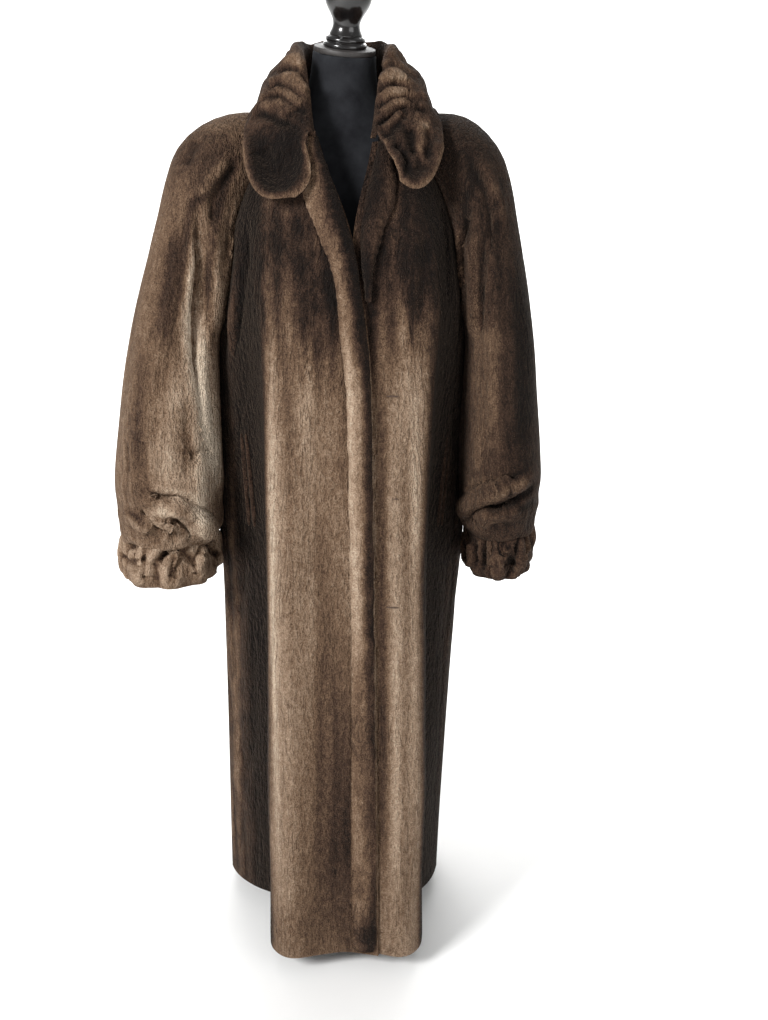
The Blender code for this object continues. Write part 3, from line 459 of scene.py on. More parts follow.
def beaverMaterial(name, crackSize, crackLength, crackDepth, crackTint):
    made, tree, shader = startMaterial(name)
    place = addNode(tree, "ShaderNodeTexCoord").outputs["Object"]
    # the pile's tone kept on the points, with painted shade and highlights in it
    tone = addNode(tree, "ShaderNodeAttribute", {"attribute_name": "pileToneWithShade"}).outputs["Fac"]
    # streaks of the pelt, 33 mm wide and 330 mm long
    streakPlace = addNode(tree, "ShaderNodeMapping", {"Scale": (30, 30, 3)}, {"Vector": place})
    streak = addNode(tree, "ShaderNodeTexNoise", {"Scale": 1.0, "Detail": 3.0, "Roughness": 0.55},
                     {"Vector": streakPlace.outputs[0]})
    # soft mottle of 15 mm, tufts of 5 x 11 mm, and a grain of 2 mm, as single hairs would be too fine
    mottle = addNode(tree, "ShaderNodeTexNoise", {"Scale": 68.0, "Detail": 3.0, "Roughness": 0.6},
                     {"Vector": place})
    tuftPlace = addNode(tree, "ShaderNodeMapping", {"Scale": (200, 200, 90)}, {"Vector": place})
    tuft = addNode(tree, "ShaderNodeTexNoise", {"Scale": 1.0, "Detail": 1.5, "Roughness": 0.5},
                   {"Vector": tuftPlace.outputs[0]})
    grain = addNode(tree, "ShaderNodeTexNoise", {"Scale": 480.0, "Detail": 1.0, "Roughness": 0.6},
                    {"Vector": place})
    # cracks: thin contour lines of a noise drawn out along the pile, so they run wavy down the pelt
    lines = []
    lineScale = (1000 / crackSize, 1000 / crackSize, 1000 / crackLength)
    for shift in (0.0, 3.7):
        linePlace = addNode(tree, "ShaderNodeMapping",
                            {"Location": (shift, shift * 2.0, shift), "Scale": lineScale},
                            {"Vector": place})
        field = addNode(tree, "ShaderNodeTexNoise", {"Scale": 1.0, "Detail": 1.0, "Roughness": 0.5,
                                                     "Distortion": 0.22}, {"Vector": linePlace.outputs[0]})
        middle = addNode(tree, "ShaderNodeMath", {"operation": "SUBTRACT", 1: 0.5},
                         {0: field.outputs["Fac"]})
        height = addNode(tree, "ShaderNodeMath", {"operation": "ABSOLUTE"}, {0: middle.outputs[0]})
        lines.append(addNode(tree, "ShaderNodeMapRange",
                             {"interpolation_type": "SMOOTHSTEP", "From Min": 0.0, "From Max": 0.035},
                             {"Value": height.outputs[0]}))
    both = addNode(tree, "ShaderNodeMath", {"operation": "MULTIPLY"},
                   {0: lines[0].outputs[0], 1: lines[1].outputs[0]})
    # cracks open in some places, 60 mm wide and 120 mm long, and are closed between them
    openPlace = addNode(tree, "ShaderNodeMapping", {"Scale": (17, 17, 8)}, {"Vector": place})
    openNoise = addNode(tree, "ShaderNodeTexNoise", {"Scale": 1.0, "Detail": 2.0, "Roughness": 0.6},
                        {"Vector": openPlace.outputs[0]})
    parting = addNode(tree, "ShaderNodeAttribute", {"attribute_name": "pileParting"}).outputs["Fac"]
    openHere = addNode(tree, "ShaderNodeMath", {"operation": "MULTIPLY_ADD", 1: 0.36},
                       {0: parting, 2: openNoise.outputs["Fac"]})
    openness = addNode(tree, "ShaderNodeMapRange", {"From Min": 0.58, "From Max": 0.80, "To Min": 0.05},
                       {"Value": openHere.outputs[0]})
    shut = addNode(tree, "ShaderNodeMath", {"operation": "SUBTRACT", 1: 1.0}, {0: both.outputs[0]})
    crack = addNode(tree, "ShaderNodeMath", {"operation": "MULTIPLY_ADD", 2: 1.0},
                    {0: shut.outputs[0], 1: openness.outputs[0]})
    total = tone
    for source, amount, middle in ((streak.outputs["Fac"], pileSettings["streak"], 0.5),
                                   (mottle.outputs["Fac"], pileSettings["mottle"], 0.5),
                                   (tuft.outputs["Fac"], pileSettings["tuft"], 0.5),
                                   (grain.outputs["Fac"], pileSettings["grain"], 0.5),
                                   (crack.outputs[0], crackTint, 0.85)):
        offset = addNode(tree, "ShaderNodeMath", {"operation": "MULTIPLY_ADD", 1: amount,
                                                  2: -amount * middle}, {0: source})
        added = addNode(tree, "ShaderNodeMath", {"operation": "ADD"}, {0: total, 1: offset.outputs[0]})
        total = added.outputs[0]
    ramp = addNode(tree, "ShaderNodeValToRGB", {}, {"Fac": total})
    fillRamp(ramp, pileSettings["colours"])
    tree.links.new(ramp.outputs["Color"], shader.inputs["Base Color"])
    # relief: cracks, then the tufts and the grain
    soft = addNode(tree, "ShaderNodeMath", {"operation": "MULTIPLY_ADD", 1: pileSettings["tuftRelief"]},
                   {0: tuft.outputs["Fac"], 2: crack.outputs[0]})
    grainy = addNode(tree, "ShaderNodeMath", {"operation": "MULTIPLY_ADD", 1: pileSettings["grainRelief"]},
                     {0: grain.outputs["Fac"], 2: soft.outputs[0]})
    bump = addNode(tree, "ShaderNodeBump",
                   {"Strength": pileSettings["relief"], "Distance": crackDepth / 1000},
                   {"Height": grainy.outputs[0]})
    tree.links.new(bump.outputs[0], shader.inputs["Normal"])
    shader.inputs["Roughness"].default_value = pileSettings["roughness"]
    shader.inputs["Specular IOR Level"].default_value = 0.15
    shader.inputs["Sheen Weight"].default_value = pileSettings["sheen"]
    shader.inputs["Sheen Roughness"].default_value = 0.5
    shader.inputs["Sheen Tint"].default_value = hexLinear(pileSettings["sheenTint"])
    return made


# crack spacing, crack length and depth in millimetres
bodyFur = beaverMaterial("sheared_beaver_body", 12.0, 110.0, 3.0, 0.055)
sleeveFur = beaverMaterial("sheared_beaver_sleeve", 10.0, 60.0, 3.0, 0.045)
trimFur = beaverMaterial("sheared_beaver_trim", 12.0, 26.0, 2.0, 0.06)
print("fur materials ready")

# The tables of every garment piece are in millimetres. creases: depth (a ridge is over 0), half width
# and a path of x and z. patches: x, z, half width, half height and change of tone. strokes: change of
# tone, half width and a path. Their changes of tone are partly streaks of the pelt and partly painted
# shade in folds and hollows and painted highlight on ridges.

# the two fronts
frontSettings = {
    "wall": 0.006, "edge": 0.0105, "ruffle": (0.0022, (0.05, 0.05, 0.16)),
    "swell": 0.005, "sideFold": 0.004, "sideFrom": (0.135, 0.165),
    # heights between which the face darkens upward, and the drop in tone over the chest and low down
    "chestHeights": (0.88, 1.06), "chestDrop": 0.31, "skirtDrop": 0.04,
    # tone of the side panels, dark partly from the pelt and partly as painted shade where they turn back
    # from the light, and how far beyond the folded edge they lighten to it from a painted near-black shadow
    "panelShadeTone": 0.19, "panelReach": (0.020, 0.060),
    "right": {"node": "front_right", "flat": (0.40, 1.28), "area": 0.44, "base": 0.585,
        "creases": (
            (6, 8, ((-147, 1143), (-145, 1072), (-152, 1003), (-166, 912))),
            (-6, 6, ((-132, 1130), (-133, 1073), (-143, 1012), (-153, 945))),
            (-3, 18, ((-34, 745), (-31, 598), (-30, 446), (-30, 289), (-29, 48))),
            (3, 16, ((-70, 787), (-77, 598), (-82, 372), (-83, 57))),
            (-2.5, 14, ((-81, 983), (-80, 914), (-87, 843))),
            (2, 12, ((-50, 983), (-49, 886), (-55, 788)))),
        "patches": (
            (-42, 1071, 65, 99, -0.12), (-9, 1024, 23, 65, -0.12), (-106, 620, 15, 330, 0.14),
            (3, 205, 16, 199, -0.16), (-10, 522, 16, 110, -0.08), (-196, 300, 13, 260, 0.20),
            (34, 64, 15, 24, -0.34), (-30, 150, 110, 170, -0.08), (-68, 81, 55, 27, -0.06),
            (-89, 180, 25, 73, 0.06)),
        # strokes: painted shade in the valleys beside the folded edge and in folds, painted highlight along
        # the lit edge and on ridges, among streaks of the pelt
        "strokes": (
            (0.19, 9, ((-99, 926), (-103, 741), (-103, 518), (-100, 288), (-99, 94))),
            (-0.16, 6, ((-14, 522), (-11, 383), (-16, 206), (-18, 72))),
            (-0.10, 5, ((-36, 538), (-35, 353), (-41, 160))),
            (-0.12, 10, ((2, 963), (5, 858), (2, 744))),
            (-0.16, 5, ((-110, 1104), (-115, 1036), (-103, 961))),
            (0.10, 7, ((-70, 1091), (-68, 1024), (-71, 942))),
            (-0.12, 6, ((-50, 1024), (-49, 956), (-58, 886))),
            (0.09, 5, ((-35, 1118), (-33, 1078), (-26, 1037))),
            (0.16, 4, ((-152, 1088), (-155, 1030), (-161, 973))),
            (0.22, 8, ((-168, 920), (-174, 705), (-175, 538), (-179, 325), (-184, 60))),
            (-0.24, 9, ((-132, 948), (-141, 746), (-143, 548), (-146, 287), (-146, 69))),
            (-0.11, 9, ((-74, 1010), (-74, 800), (-75, 600), (-76, 400))),
            (0.08, 7, ((-46, 980), (-44, 800), (-44, 600), (-45, 400))),
            (-0.12, 13, ((9, 580), (7, 400), (5, 250), (4, 120))),
            (0.15, 8, ((-111, 260), (-114, 150), (-116, 60))))},
    "left": {"node": "front_left", "flat": (0.37, 1.28), "area": 0.40, "base": 0.62,
        "creases": (
            (-3, 12, ((90, 843), (94, 714), (98, 537), (97, 322), (95, 61))),
            (2.5, 12, ((71, 857), (74, 656), (78, 416), (78, 62))),
            (-4, 8, ((121, 1117), (116, 1064), (110, 996))),
            (3, 12, ((99, 1118), (93, 1037), (88, 955))),
            (-5, 6, ((140, 1164), (148, 1127), (151, 1075), (150, 1006)))),
        # the patch at x 43 is painted shadow in the gap under the right front's edge
        "patches": (
            (80, 1090, 60, 120, -0.16), (43, 982, 8, 85, -0.40), (108, 713, 14, 260, 0.08),
            (63, 536, 12, 313, -0.06), (110, 300, 10, 260, 0.04), (138, 380, 12, 330, -0.08),
            (158, 760, 8, 70, 0.12)),
        # the first stroke, down x 55 to 58, is painted shadow beside the right front's edge; the others mix
        # painted shade in folds, painted highlight on ridges and streaks of the pelt
        "strokes": (
            (-0.27, 7, ((55, 982), (57, 815), (57, 596), (58, 367), (58, 125))),
            (0.12, 7, ((102, 930), (104, 742), (102, 519), (98, 287), (94, 100))),
            (-0.12, 8, ((74, 1080), (77, 1000), (79, 900))),
            (0.08, 7, ((78, 620), (78, 400), (78, 150))),
            (-0.14, 6, ((99, 1091), (99, 1023), (94, 962))),
            (0.10, 6, ((79, 1064), (82, 1010), (85, 955))),
            (0.10, 5, ((143, 1175), (147, 1150), (154, 1109))),
            (-0.14, 6, ((121, 1117), (127, 1063), (130, 995))))},
    # the face of the fronts by height: its folded edges and how far it stands forward
    "faceColumns": ("height", "edgeRight", "edgeLeft", "front"),
    "face": (
        (0.032, -0.121, 0.119, -0.230), (0.332, -0.116, 0.123, -0.218), (0.582, -0.119, 0.126, -0.203),
        (0.782, -0.125, 0.134, -0.189), (0.912, -0.127, 0.141, -0.177), (0.982, -0.124, 0.141, -0.168),
        (1.082, -0.122, 0.132, -0.150), (1.162, -0.112, 0.108, -0.130), (1.222, -0.090, 0.082, -0.104))}


def frontTone(base):
    # taupe face that darkens over the chest in tongues, and at its sides near-black painted shadow in the
    # folds beside its edges, with side panels dark from their own tone and from painted shade
    columns = frontSettings["faceColumns"]
    table = np.array(frontSettings["face"])

    def tone(points):
        x, y, z = points.T
        edgeRight, edgeLeft, front = (np.interp(z, table[:, 0], table[:, columns.index(name)])
                                      for name in ("edgeRight", "edgeLeft", "front"))
        beyond = np.where(x < 0, edgeRight - x, x - edgeLeft)
        tongues = twoNoises(points, (0.011, 0.03, 0.5), 0.09, (0.035, 0.05, 0.5), 0.06, 21.0)
        streaks = twoNoises(points, (0.012, 0.03, 0.25), 0.16, (0.02, 0.03, 0.03), 0.16, 23.0)
        chest = softStep(*frontSettings["chestHeights"], z + tongues)
        # painted shadow: near-black where the face folds back at its edges and where it lies set back
        # behind them
        behind = softStep(0.012, 0.040, y - front) * softStep(0.075, 0.100, np.abs(x))
        foldShade = np.maximum(softStep(-0.001, 0.003, beyond), behind)
        panel = (frontSettings["panelShadeTone"] + streaks) * softStep(*frontSettings["panelReach"], beyond)
        face = base - (frontSettings["chestDrop"] - streaks) * chest
        face = face - frontSettings["skirtDrop"] * softStep(0.5, 0.3, z)
        return face * (1.0 - foldShade) + foldShade * (panel + 0.05 * softStep(1.0, 0.3, z))
    return tone


def frontParting(points):
    # cracked at its far side and over the side panels, closed along the middle
    x, y, z = points.T
    return (0.30 + 0.55 * softStep(-0.062, -0.098, x) + 0.30 * softStep(0.085, 0.110, x)
            + 0.25 * softStep(0.85, 1.0, z))


def seamShare(place):
    # raglan seams fully, side seams a little, the hem and the front edges not at all
    if abs(place.x) < 0.06 or place.z < 0.06:
        return 0.0
    return 1.0 if place.z > 0.98 else 0.25


def makeFront(key):
    settings = frontSettings[key]
    piece = startFromNode(key + "Front", settings["node"])
    keepOuterSkin(piece)
    refine(piece, frontSettings["edge"])
    tuckRims(piece, seamShare)
    pressCreases(piece, settings["creases"], -1)
    ruffle(piece, *frontSettings["ruffle"], 1.0 if key == "right" else 2.0)
    # the side panels swell toward the sleeves and have long wavy folds
    points = readPoints(piece)
    aside = softStep(*frontSettings["sideFrom"], np.abs(points[:, 0]))
    swell = aside * softStep(1.10, 1.0, points[:, 2]) * softStep(0.50, 0.64, points[:, 2])
    folds = puffs(points, (0.03, 0.03, 0.22), 40.0)
    pushOut(piece, swell * frontSettings["swell"] + folds * aside * frontSettings["sideFold"])
    giveWall(piece, frontSettings["wall"])
    paintTone(piece, frontTone(settings["base"]), settings["patches"], settings["creases"],
              strokes=settings["strokes"], parting=frontParting)
    finishPiece(piece, bodyFur, settings["node"])
    return piece


rightFront = makeFront("right")
leftFront = makeFront("left")

# the back, with soft godets that widen to the hem
backSettings = {
    "wall": 0.006, "edge": 0.014, "flat": (0.62, 1.27), "area": 0.71, "base": 0.56,
    "ruffle": (0.0024, (0.06, 0.06, 0.18)),
    "shoulderHeights": (0.86, 1.08), "shoulderDrop": 0.18, "sideFrom": (0.100, 0.165), "sideDrop": 0.32,
    "creases": (
        (-5, 16, ((0, 720), (2, 520), (0, 300), (0, 45))),
        (-4, 14, ((-62, 820), (-70, 560), (-76, 300), (-80, 45))),
        (-4, 14, ((58, 860), (66, 600), (72, 320), (76, 45))),
        (4, 16, ((-34, 760), (-38, 500), (-40, 60))),
        (4, 16, ((32, 700), (36, 480), (38, 60))),
        (-4, 15, ((-120, 700), (-124, 420), (-126, 45))),
        (-4, 15, ((112, 740), (116, 460), (118, 45))),
        (4, 16, ((-98, 760), (-102, 460), (-104, 50))),
        (4, 16, ((90, 720), (95, 440), (97, 50))),
        (-2, 20, ((-96, 1140), (-88, 1040), (-84, 940))),
        (-2, 20, ((94, 1150), (88, 1050), (82, 950)))),
    "patches": (
        (0, 1030, 24, 200, -0.08), (-56, 520, 22, 320, 0.08), (60, 480, 20, 300, 0.10),
        (8, 250, 30, 200, -0.05))}


def backTone(points):
    # taupe skirt, dark between the shoulders, darker again toward the side seams
    x, y, z = points.T
    tongues = twoNoises(points, (0.013, 0.03, 0.5), 0.09, (0.04, 0.05, 0.5), 0.07, 25.0)
    streaks = noiseAt(points, (0.013, 0.03, 0.25), 27.0) * 0.07
    shoulders = softStep(*backSettings["shoulderHeights"], z + tongues) * backSettings["shoulderDrop"]
    side = softStep(*backSettings["sideFrom"], np.abs(x))
    return backSettings["base"] + streaks - shoulders * (1.0 - side) - backSettings["sideDrop"] * side


coatBack = startFromNode("coatBack", "back")
keepOuterSkin(coatBack)
refine(coatBack, backSettings["edge"])
tuckRims(coatBack, seamShare)
pressCreases(coatBack, backSettings["creases"], 1, 1.3)
ruffle(coatBack, *backSettings["ruffle"], 3.0)
giveWall(coatBack, backSettings["wall"])
paintTone(coatBack, backTone, backSettings["patches"], backSettings["creases"], 1, creaseShading=0.7,
          parting=0.5)
finishPiece(coatBack, bodyFur, "back")

# raglan bishop sleeves
sleeveSettings = {
    "wall": 0.006, "edge": 0.0095, "ruffle": (0.0030, (0.07, 0.07, 0.12)), "gather": 0.0035,
    "swell": 0.012, "overhang": 0.007, "drop": 0.008, "clear": 0.002, "behindTone": 0.40,
    # creases behind the arm like those of its front, for the left sleeve and mirrored on the right one
    "backCreases": (
        (-6, 9, ((215, 735), (240, 742), (268, 738), (290, 722))),
        (6, 10, ((222, 712), (248, 716), (280, 702))),
        (-4, 14, ((205, 1100), (225, 1000), (245, 890), (262, 800))),
        (3, 16, ((228, 1110), (252, 1000), (272, 890)))),
    "right": {"node": "sleeve_right", "flat": (0.66, 0.72), "area": 0.33, "base": 0.52,
        "creases": (
            (-4, 8, ((-199, 1155), (-207, 1115), (-210, 1062), (-218, 1012), (-220, 925), (-215, 845),
                (-209, 768))),
            (4, 12, ((-181, 1151), (-190, 1074), (-197, 988), (-202, 869), (-201, 762), (-202, 689))),
            (-4, 8, ((-146, 1212), (-157, 1196), (-168, 1182), (-181, 1158), (-188, 1123))),
            (4, 10, ((-159, 1215), (-173, 1198), (-187, 1179), (-199, 1158))),
            (-3, 11, ((-290, 826), (-290, 799), (-289, 770), (-288, 740))),
            (-9, 6, ((-290, 742), (-271, 735), (-250, 730), (-233, 720), (-221, 704), (-213, 685))),
            (10, 13, ((-283, 717), (-258, 715), (-239, 703), (-224, 687), (-212, 668))),
            (-8, 6, ((-302, 716), (-290, 701), (-279, 690), (-264, 681), (-250, 673))),
            (6, 9, ((-286, 724), (-279, 708), (-268, 697), (-254, 688))),
            (-7, 7, ((-261, 696), (-248, 694), (-239, 684), (-234, 670))),
            (5, 9, ((-323, 708), (-310, 695), (-290, 685))),
            (-2.5, 4, ((-317, 809), (-316, 789), (-315, 768))),
            (-3.5, 22, ((-219, 1137), (-233, 1047), (-249, 956), (-273, 864))),
            (3, 20, ((-274, 1033), (-289, 949), (-304, 848))),
            (-3, 12, ((-206, 1240), (-221, 1205))),
            (-3, 10, ((-234, 794), (-218, 801), (-205, 793)))),
        "patches": (
            (-246, 978, 26, 133, -0.06), (-226, 772, 51, 61, 0.12), (-168, 1226, 38, 44, -0.08),
            (-204, 1200, 60, 60, -0.15), (-238, 885, 16, 30, 0.16), (-308, 835, 12, 40, -0.10),
            (-290, 960, 24, 160, -0.06), (-317, 874, 12, 167, 0.04), (-303, 731, 21, 46, -0.10),
            (-175, 1256, 18, 10, 0.06), (-213, 1151, 20, 29, 0.05), (-259, 788, 30, 36, 0.08),
            (-228, 799, 10, 18, -0.18), (-254, 921, 32, 89, 0.08), (-220, 1226, 39, 39, -0.06)),
        # strokes: a painted highlight along the lit ridge beside the body, painted shade in the folds and
        # painted highlight on the ridges of the gathers
        "strokes": (
            (0.28, 11, ((-197, 1165), (-208, 1103), (-216, 1047), (-221, 975), (-215, 902), (-198, 826),
                (-192, 749), (-198, 680))),
            (0.21, 18, ((-217, 1040), (-212, 960), (-196, 880), (-188, 800), (-188, 730), (-196, 650))),
            (0.24, 15, ((-202, 900), (-204, 840), (-205, 790), (-206, 740), (-208, 700), (-210, 660))),
            (-0.26, 6, ((-169, 1189), (-190, 1164), (-209, 1154), (-216, 1123), (-220, 1082), (-226, 1040),
                (-231, 998))),
            (-0.30, 7, ((-149, 1212), (-162, 1189), (-176, 1137), (-183, 1095), (-190, 1059), (-192, 990),
                (-188, 920))),
            (-0.20, 13, ((-231, 1123), (-241, 1061), (-252, 992), (-260, 950))),
            (-0.13, 10, ((-287, 977), (-294, 878), (-300, 805), (-306, 753))),
            (-0.22, 4, ((-287, 747), (-279, 735), (-261, 730), (-241, 716), (-225, 696), (-211, 672))),
            (0.12, 7, ((-283, 724), (-263, 710), (-239, 689), (-219, 664))),
            (-0.25, 4, ((-328, 707), (-307, 705), (-290, 689), (-272, 679), (-259, 669))),
            (0.08, 6, ((-329, 726), (-307, 720), (-286, 704))),
            (-0.16, 4, ((-260, 699), (-245, 691), (-233, 675))))},
    # the front of the wearer's left sleeve is painted darker, base 0.20 against 0.52, as shade turned from
    # the light
    "left": {"node": "sleeve_left", "flat": (0.62, 0.70), "area": 0.30, "base": 0.20,
        "creases": (
            (-5, 7, ((182, 1141), (182, 1119), (179, 1095), (184, 1028), (188, 952))),
            (5, 9, ((193, 1116), (198, 1046), (199, 960))),
            (-4, 8, ((178, 1226), (186, 1200), (205, 1160), (211, 1136), (214, 1093))),
            (3, 10, ((192, 1219), (206, 1190), (223, 1158), (228, 1123))),
            (-9, 6, ((194, 733), (205, 743), (220, 751), (244, 762), (258, 768))),
            (10, 12, ((190, 697), (206, 722), (227, 741), (252, 755), (276, 765))),
            (-8, 6, ((196, 698), (217, 714), (243, 721), (261, 733), (287, 749))),
            (6, 8, ((210, 698), (237, 706), (263, 717))),
            (-4, 4, ((242, 759), (244, 746), (246, 736))),
            (-3, 14, ((248, 1033), (256, 949), (261, 849), (257, 799))),
            (2.5, 18, ((221, 991), (227, 907), (227, 835)))),
        "patches": (
            (266, 962, 15, 191, -0.13), (190, 890, 12, 60, 0.12), (201, 772, 30, 46, 0.08),
            (181, 1226, 35, 50, -0.06), (197, 1089, 29, 58, 0.04)),
        # strokes: painted shade in the folds and painted highlight on their ridges
        "strokes": (
            (-0.16, 6, ((179, 1209), (186, 1182), (176, 1158), (175, 1123), (180, 1088))),
            (0.12, 5, ((186, 1178), (200, 1164), (206, 1148))),
            (-0.14, 5, ((227, 1196), (219, 1151), (217, 1103))),
            (0.08, 6, ((209, 1212), (223, 1158), (233, 1110))),
            (-0.24, 17, ((245, 1072), (258, 1019), (266, 955), (270, 876), (266, 827))),
            (0.20, 22, ((195, 1018), (202, 961), (208, 890), (206, 817), (199, 763))),
            (-0.22, 4, ((202, 739), (229, 757), (251, 767), (274, 780))),
            (0.14, 7, ((203, 720), (230, 743), (258, 759), (284, 769))),
            (-0.20, 7, ((220, 716), (241, 727), (262, 738), (283, 746))),
            (-0.22, 4, ((238, 703), (261, 715), (284, 721))),
            (0.10, 5, ((210, 699), (232, 693), (249, 700))))}}


def sleeveSeams(place):
    # the raglan and underarm seams, but not the gathered foot
    return 1.0 if place.z > 0.75 else 0.0


def makeSleeve(key):
    settings = sleeveSettings[key]
    sign = -1 if key == "right" else 1
    piece = startFromNode(key + "Sleeve", settings["node"])
    keepOuterSkin(piece)
    refine(piece, sleeveSettings["edge"])
    tuckRims(piece, sleeveSeams)
    pressCreases(piece, settings["creases"], -1, 1.5)
    pressCreases(piece, [(depth, width, [(sign * x, z) for x, z in path])
                         for depth, width, path in sleeveSettings["backCreases"]], 1)
    ruffle(piece, *sleeveSettings["ruffle"], 4.0 + sign)
    # gathers that run up from the cuff, and the inner side that swells against the body
    points = readPoints(piece)
    low = softStep(0.790, 0.670, points[:, 2])
    gathers = puffs(points, (0.040, 0.040, 0.12), 30.0 + sign)
    inward = softStep(0.0, 0.7, readNormals(piece)[:, 0] * -sign) * softStep(0.02, -0.04, points[:, 1])
    swell = inward * softStep(1.18, 1.08, points[:, 2]) * softStep(0.62, 0.68, points[:, 2])
    pushOut(piece, gathers * low * sleeveSettings["gather"] + swell * sleeveSettings["swell"])
    # its foot bulges out and hangs unevenly over the cuff
    points = readPoints(piece)
    foot = softStep(0.024, 0.0, rimDistance(piece, lambda place: place.z < 0.72))
    hang = foot * (sleeveSettings["drop"] + 0.006 * noiseAt(points, (0.025, 0.025, 0.025), 33.0 + sign))
    points = points + readNormals(piece) * (foot * sleeveSettings["overhang"])[:, None]
    points[:, 2] -= hang
    writePoints(piece, points)
    keepClear(piece, [rightFront if key == "right" else leftFront, coatBack], sleeveSettings["clear"])
    giveWall(piece, sleeveSettings["wall"])

    def tone(places):
        # the front as it shows, painted in shade on the wearer's left sleeve, and both sleeves alike behind
        behind = softStep(-0.01, 0.05, places[:, 1])
        return settings["base"] + (sleeveSettings["behindTone"] - settings["base"]) * behind

    def parting(places):
        # cracked along the ridge beside the body and at the outer side
        outside = sign * places[:, 0]
        return 0.30 + 0.65 * softStep(0.232, 0.205, outside) + 0.35 * softStep(0.285, 0.315, outside)

    paintTone(piece, tone, settings["patches"], settings["creases"], strokes=settings["strokes"],
              creaseShading=0.6, parting=parting)
    finishPiece(piece, sleeveFur, settings["node"])
    return piece


rightSleeve = makeSleeve("right")
leftSleeve = makeSleeve("left")

# gathered cuffs: thick uneven gathers all round, those in front listed one by one
cuffSettings = {
    "wall": 0.006, "edge": 0.0065, "gather": 0.0150, "crumple": 0.0030, "gatherSize": (0.030, 0.030, 0.060),
    "crumpleSize": (0.022, 0.022, 0.022), "behindTone": 0.38, "flat": (0.55, 0.085), "area": 0.045,
    "right": {"tone": 0.52, "seed": 8.0,
        "creases": (
            (-10, 6, ((-230, 664), (-245, 655), (-256, 652), (-266, 647), (-273, 642), (-279, 628))),
            (-8, 5, ((-254, 652), (-255, 633), (-259, 606))),
            (-8, 5, ((-234, 655), (-244, 636), (-250, 622), (-254, 604))),
            (-7, 5, ((-298, 656), (-298, 631), (-300, 602))),
            (-7, 5, ((-304, 668), (-308, 657), (-317, 650), (-330, 648))),
            (-6, 5, ((-345, 629), (-329, 625), (-312, 632), (-299, 638))),
            (-7, 6, ((-228, 626), (-223, 604))),
            (-8, 6, ((-214, 652), (-207, 635), (-198, 614))),
            (6, 9, ((-272, 660), (-288, 640), (-293, 625), (-295, 606))),
            (5, 10, ((-213, 637), (-219, 622), (-224, 605))))},
    # the front of the wearer's left cuff is painted darker, tone 0.20 against 0.52, as shade turned from
    # the light
    "left": {"tone": 0.20, "seed": 9.0,
        "creases": (
            (-10, 5, ((193, 677), (198, 655), (199, 622))),
            (-10, 5, ((211, 677), (211, 650), (211, 618))),
            (-7, 5, ((228, 674), (234, 648), (244, 622))),
            (-8, 6, ((262, 677), (259, 652), (252, 622))),
            (-5, 5, ((185, 658), (186, 634), (188, 612))),
            (6, 7, ((193, 652), (192, 634), (192, 614))),
            (5, 8, ((221, 669), (222, 648), (221, 624))),
            (6, 8, ((246, 658), (240, 645), (236, 632))),
            (5, 8, ((274, 669), (277, 644), (271, 630))))}}


def makeCuff(key):
    piece = startFromNode(key + "Cuff", "cuff_" + key)
    keepOuterSkin(piece)
    refine(piece, cuffSettings["edge"])
    settings = cuffSettings[key]
    points = readPoints(piece)
    front = softStep(-0.03, -0.07, points[:, 1])
    gathers = puffs(points, cuffSettings["gatherSize"], settings["seed"]) * (1.0 - 0.35 * front)
    lumps = noiseAt(points, cuffSettings["crumpleSize"], settings["seed"] + 0.5)
    top = softStep(points[:, 2].max(), points[:, 2].max() - 0.010, points[:, 2])
    top = top * (0.35 + 0.65 * softStep(0.0, 0.012, points[:, 2] - points[:, 2].min()))
    push = (gathers * cuffSettings["gather"] + lumps * cuffSettings["crumple"]) * top
    pushOut(piece, push, holdRims=False)
    pressCreases(piece, settings["creases"], -1, 1.35, narrow=0.75, fade=0.06, holdRims=False)
    giveWall(piece, cuffSettings["wall"])

    def tone(places):
        # the front's tone, painted in shade on the left cuff, and both cuffs alike behind
        behind = softStep(-0.03, 0.03, places[:, 1])
        return settings["tone"] + (cuffSettings["behindTone"] - settings["tone"]) * behind

    # painted shade deep in the gathers and painted highlight on their tops, strong
    paintTone(piece, tone, (), settings["creases"], relief=85.0, creaseShading=0.6)
    finishPiece(piece, trimFur, "cuff_" + key)


for key in ("right", "left"):
    makeCuff(key)

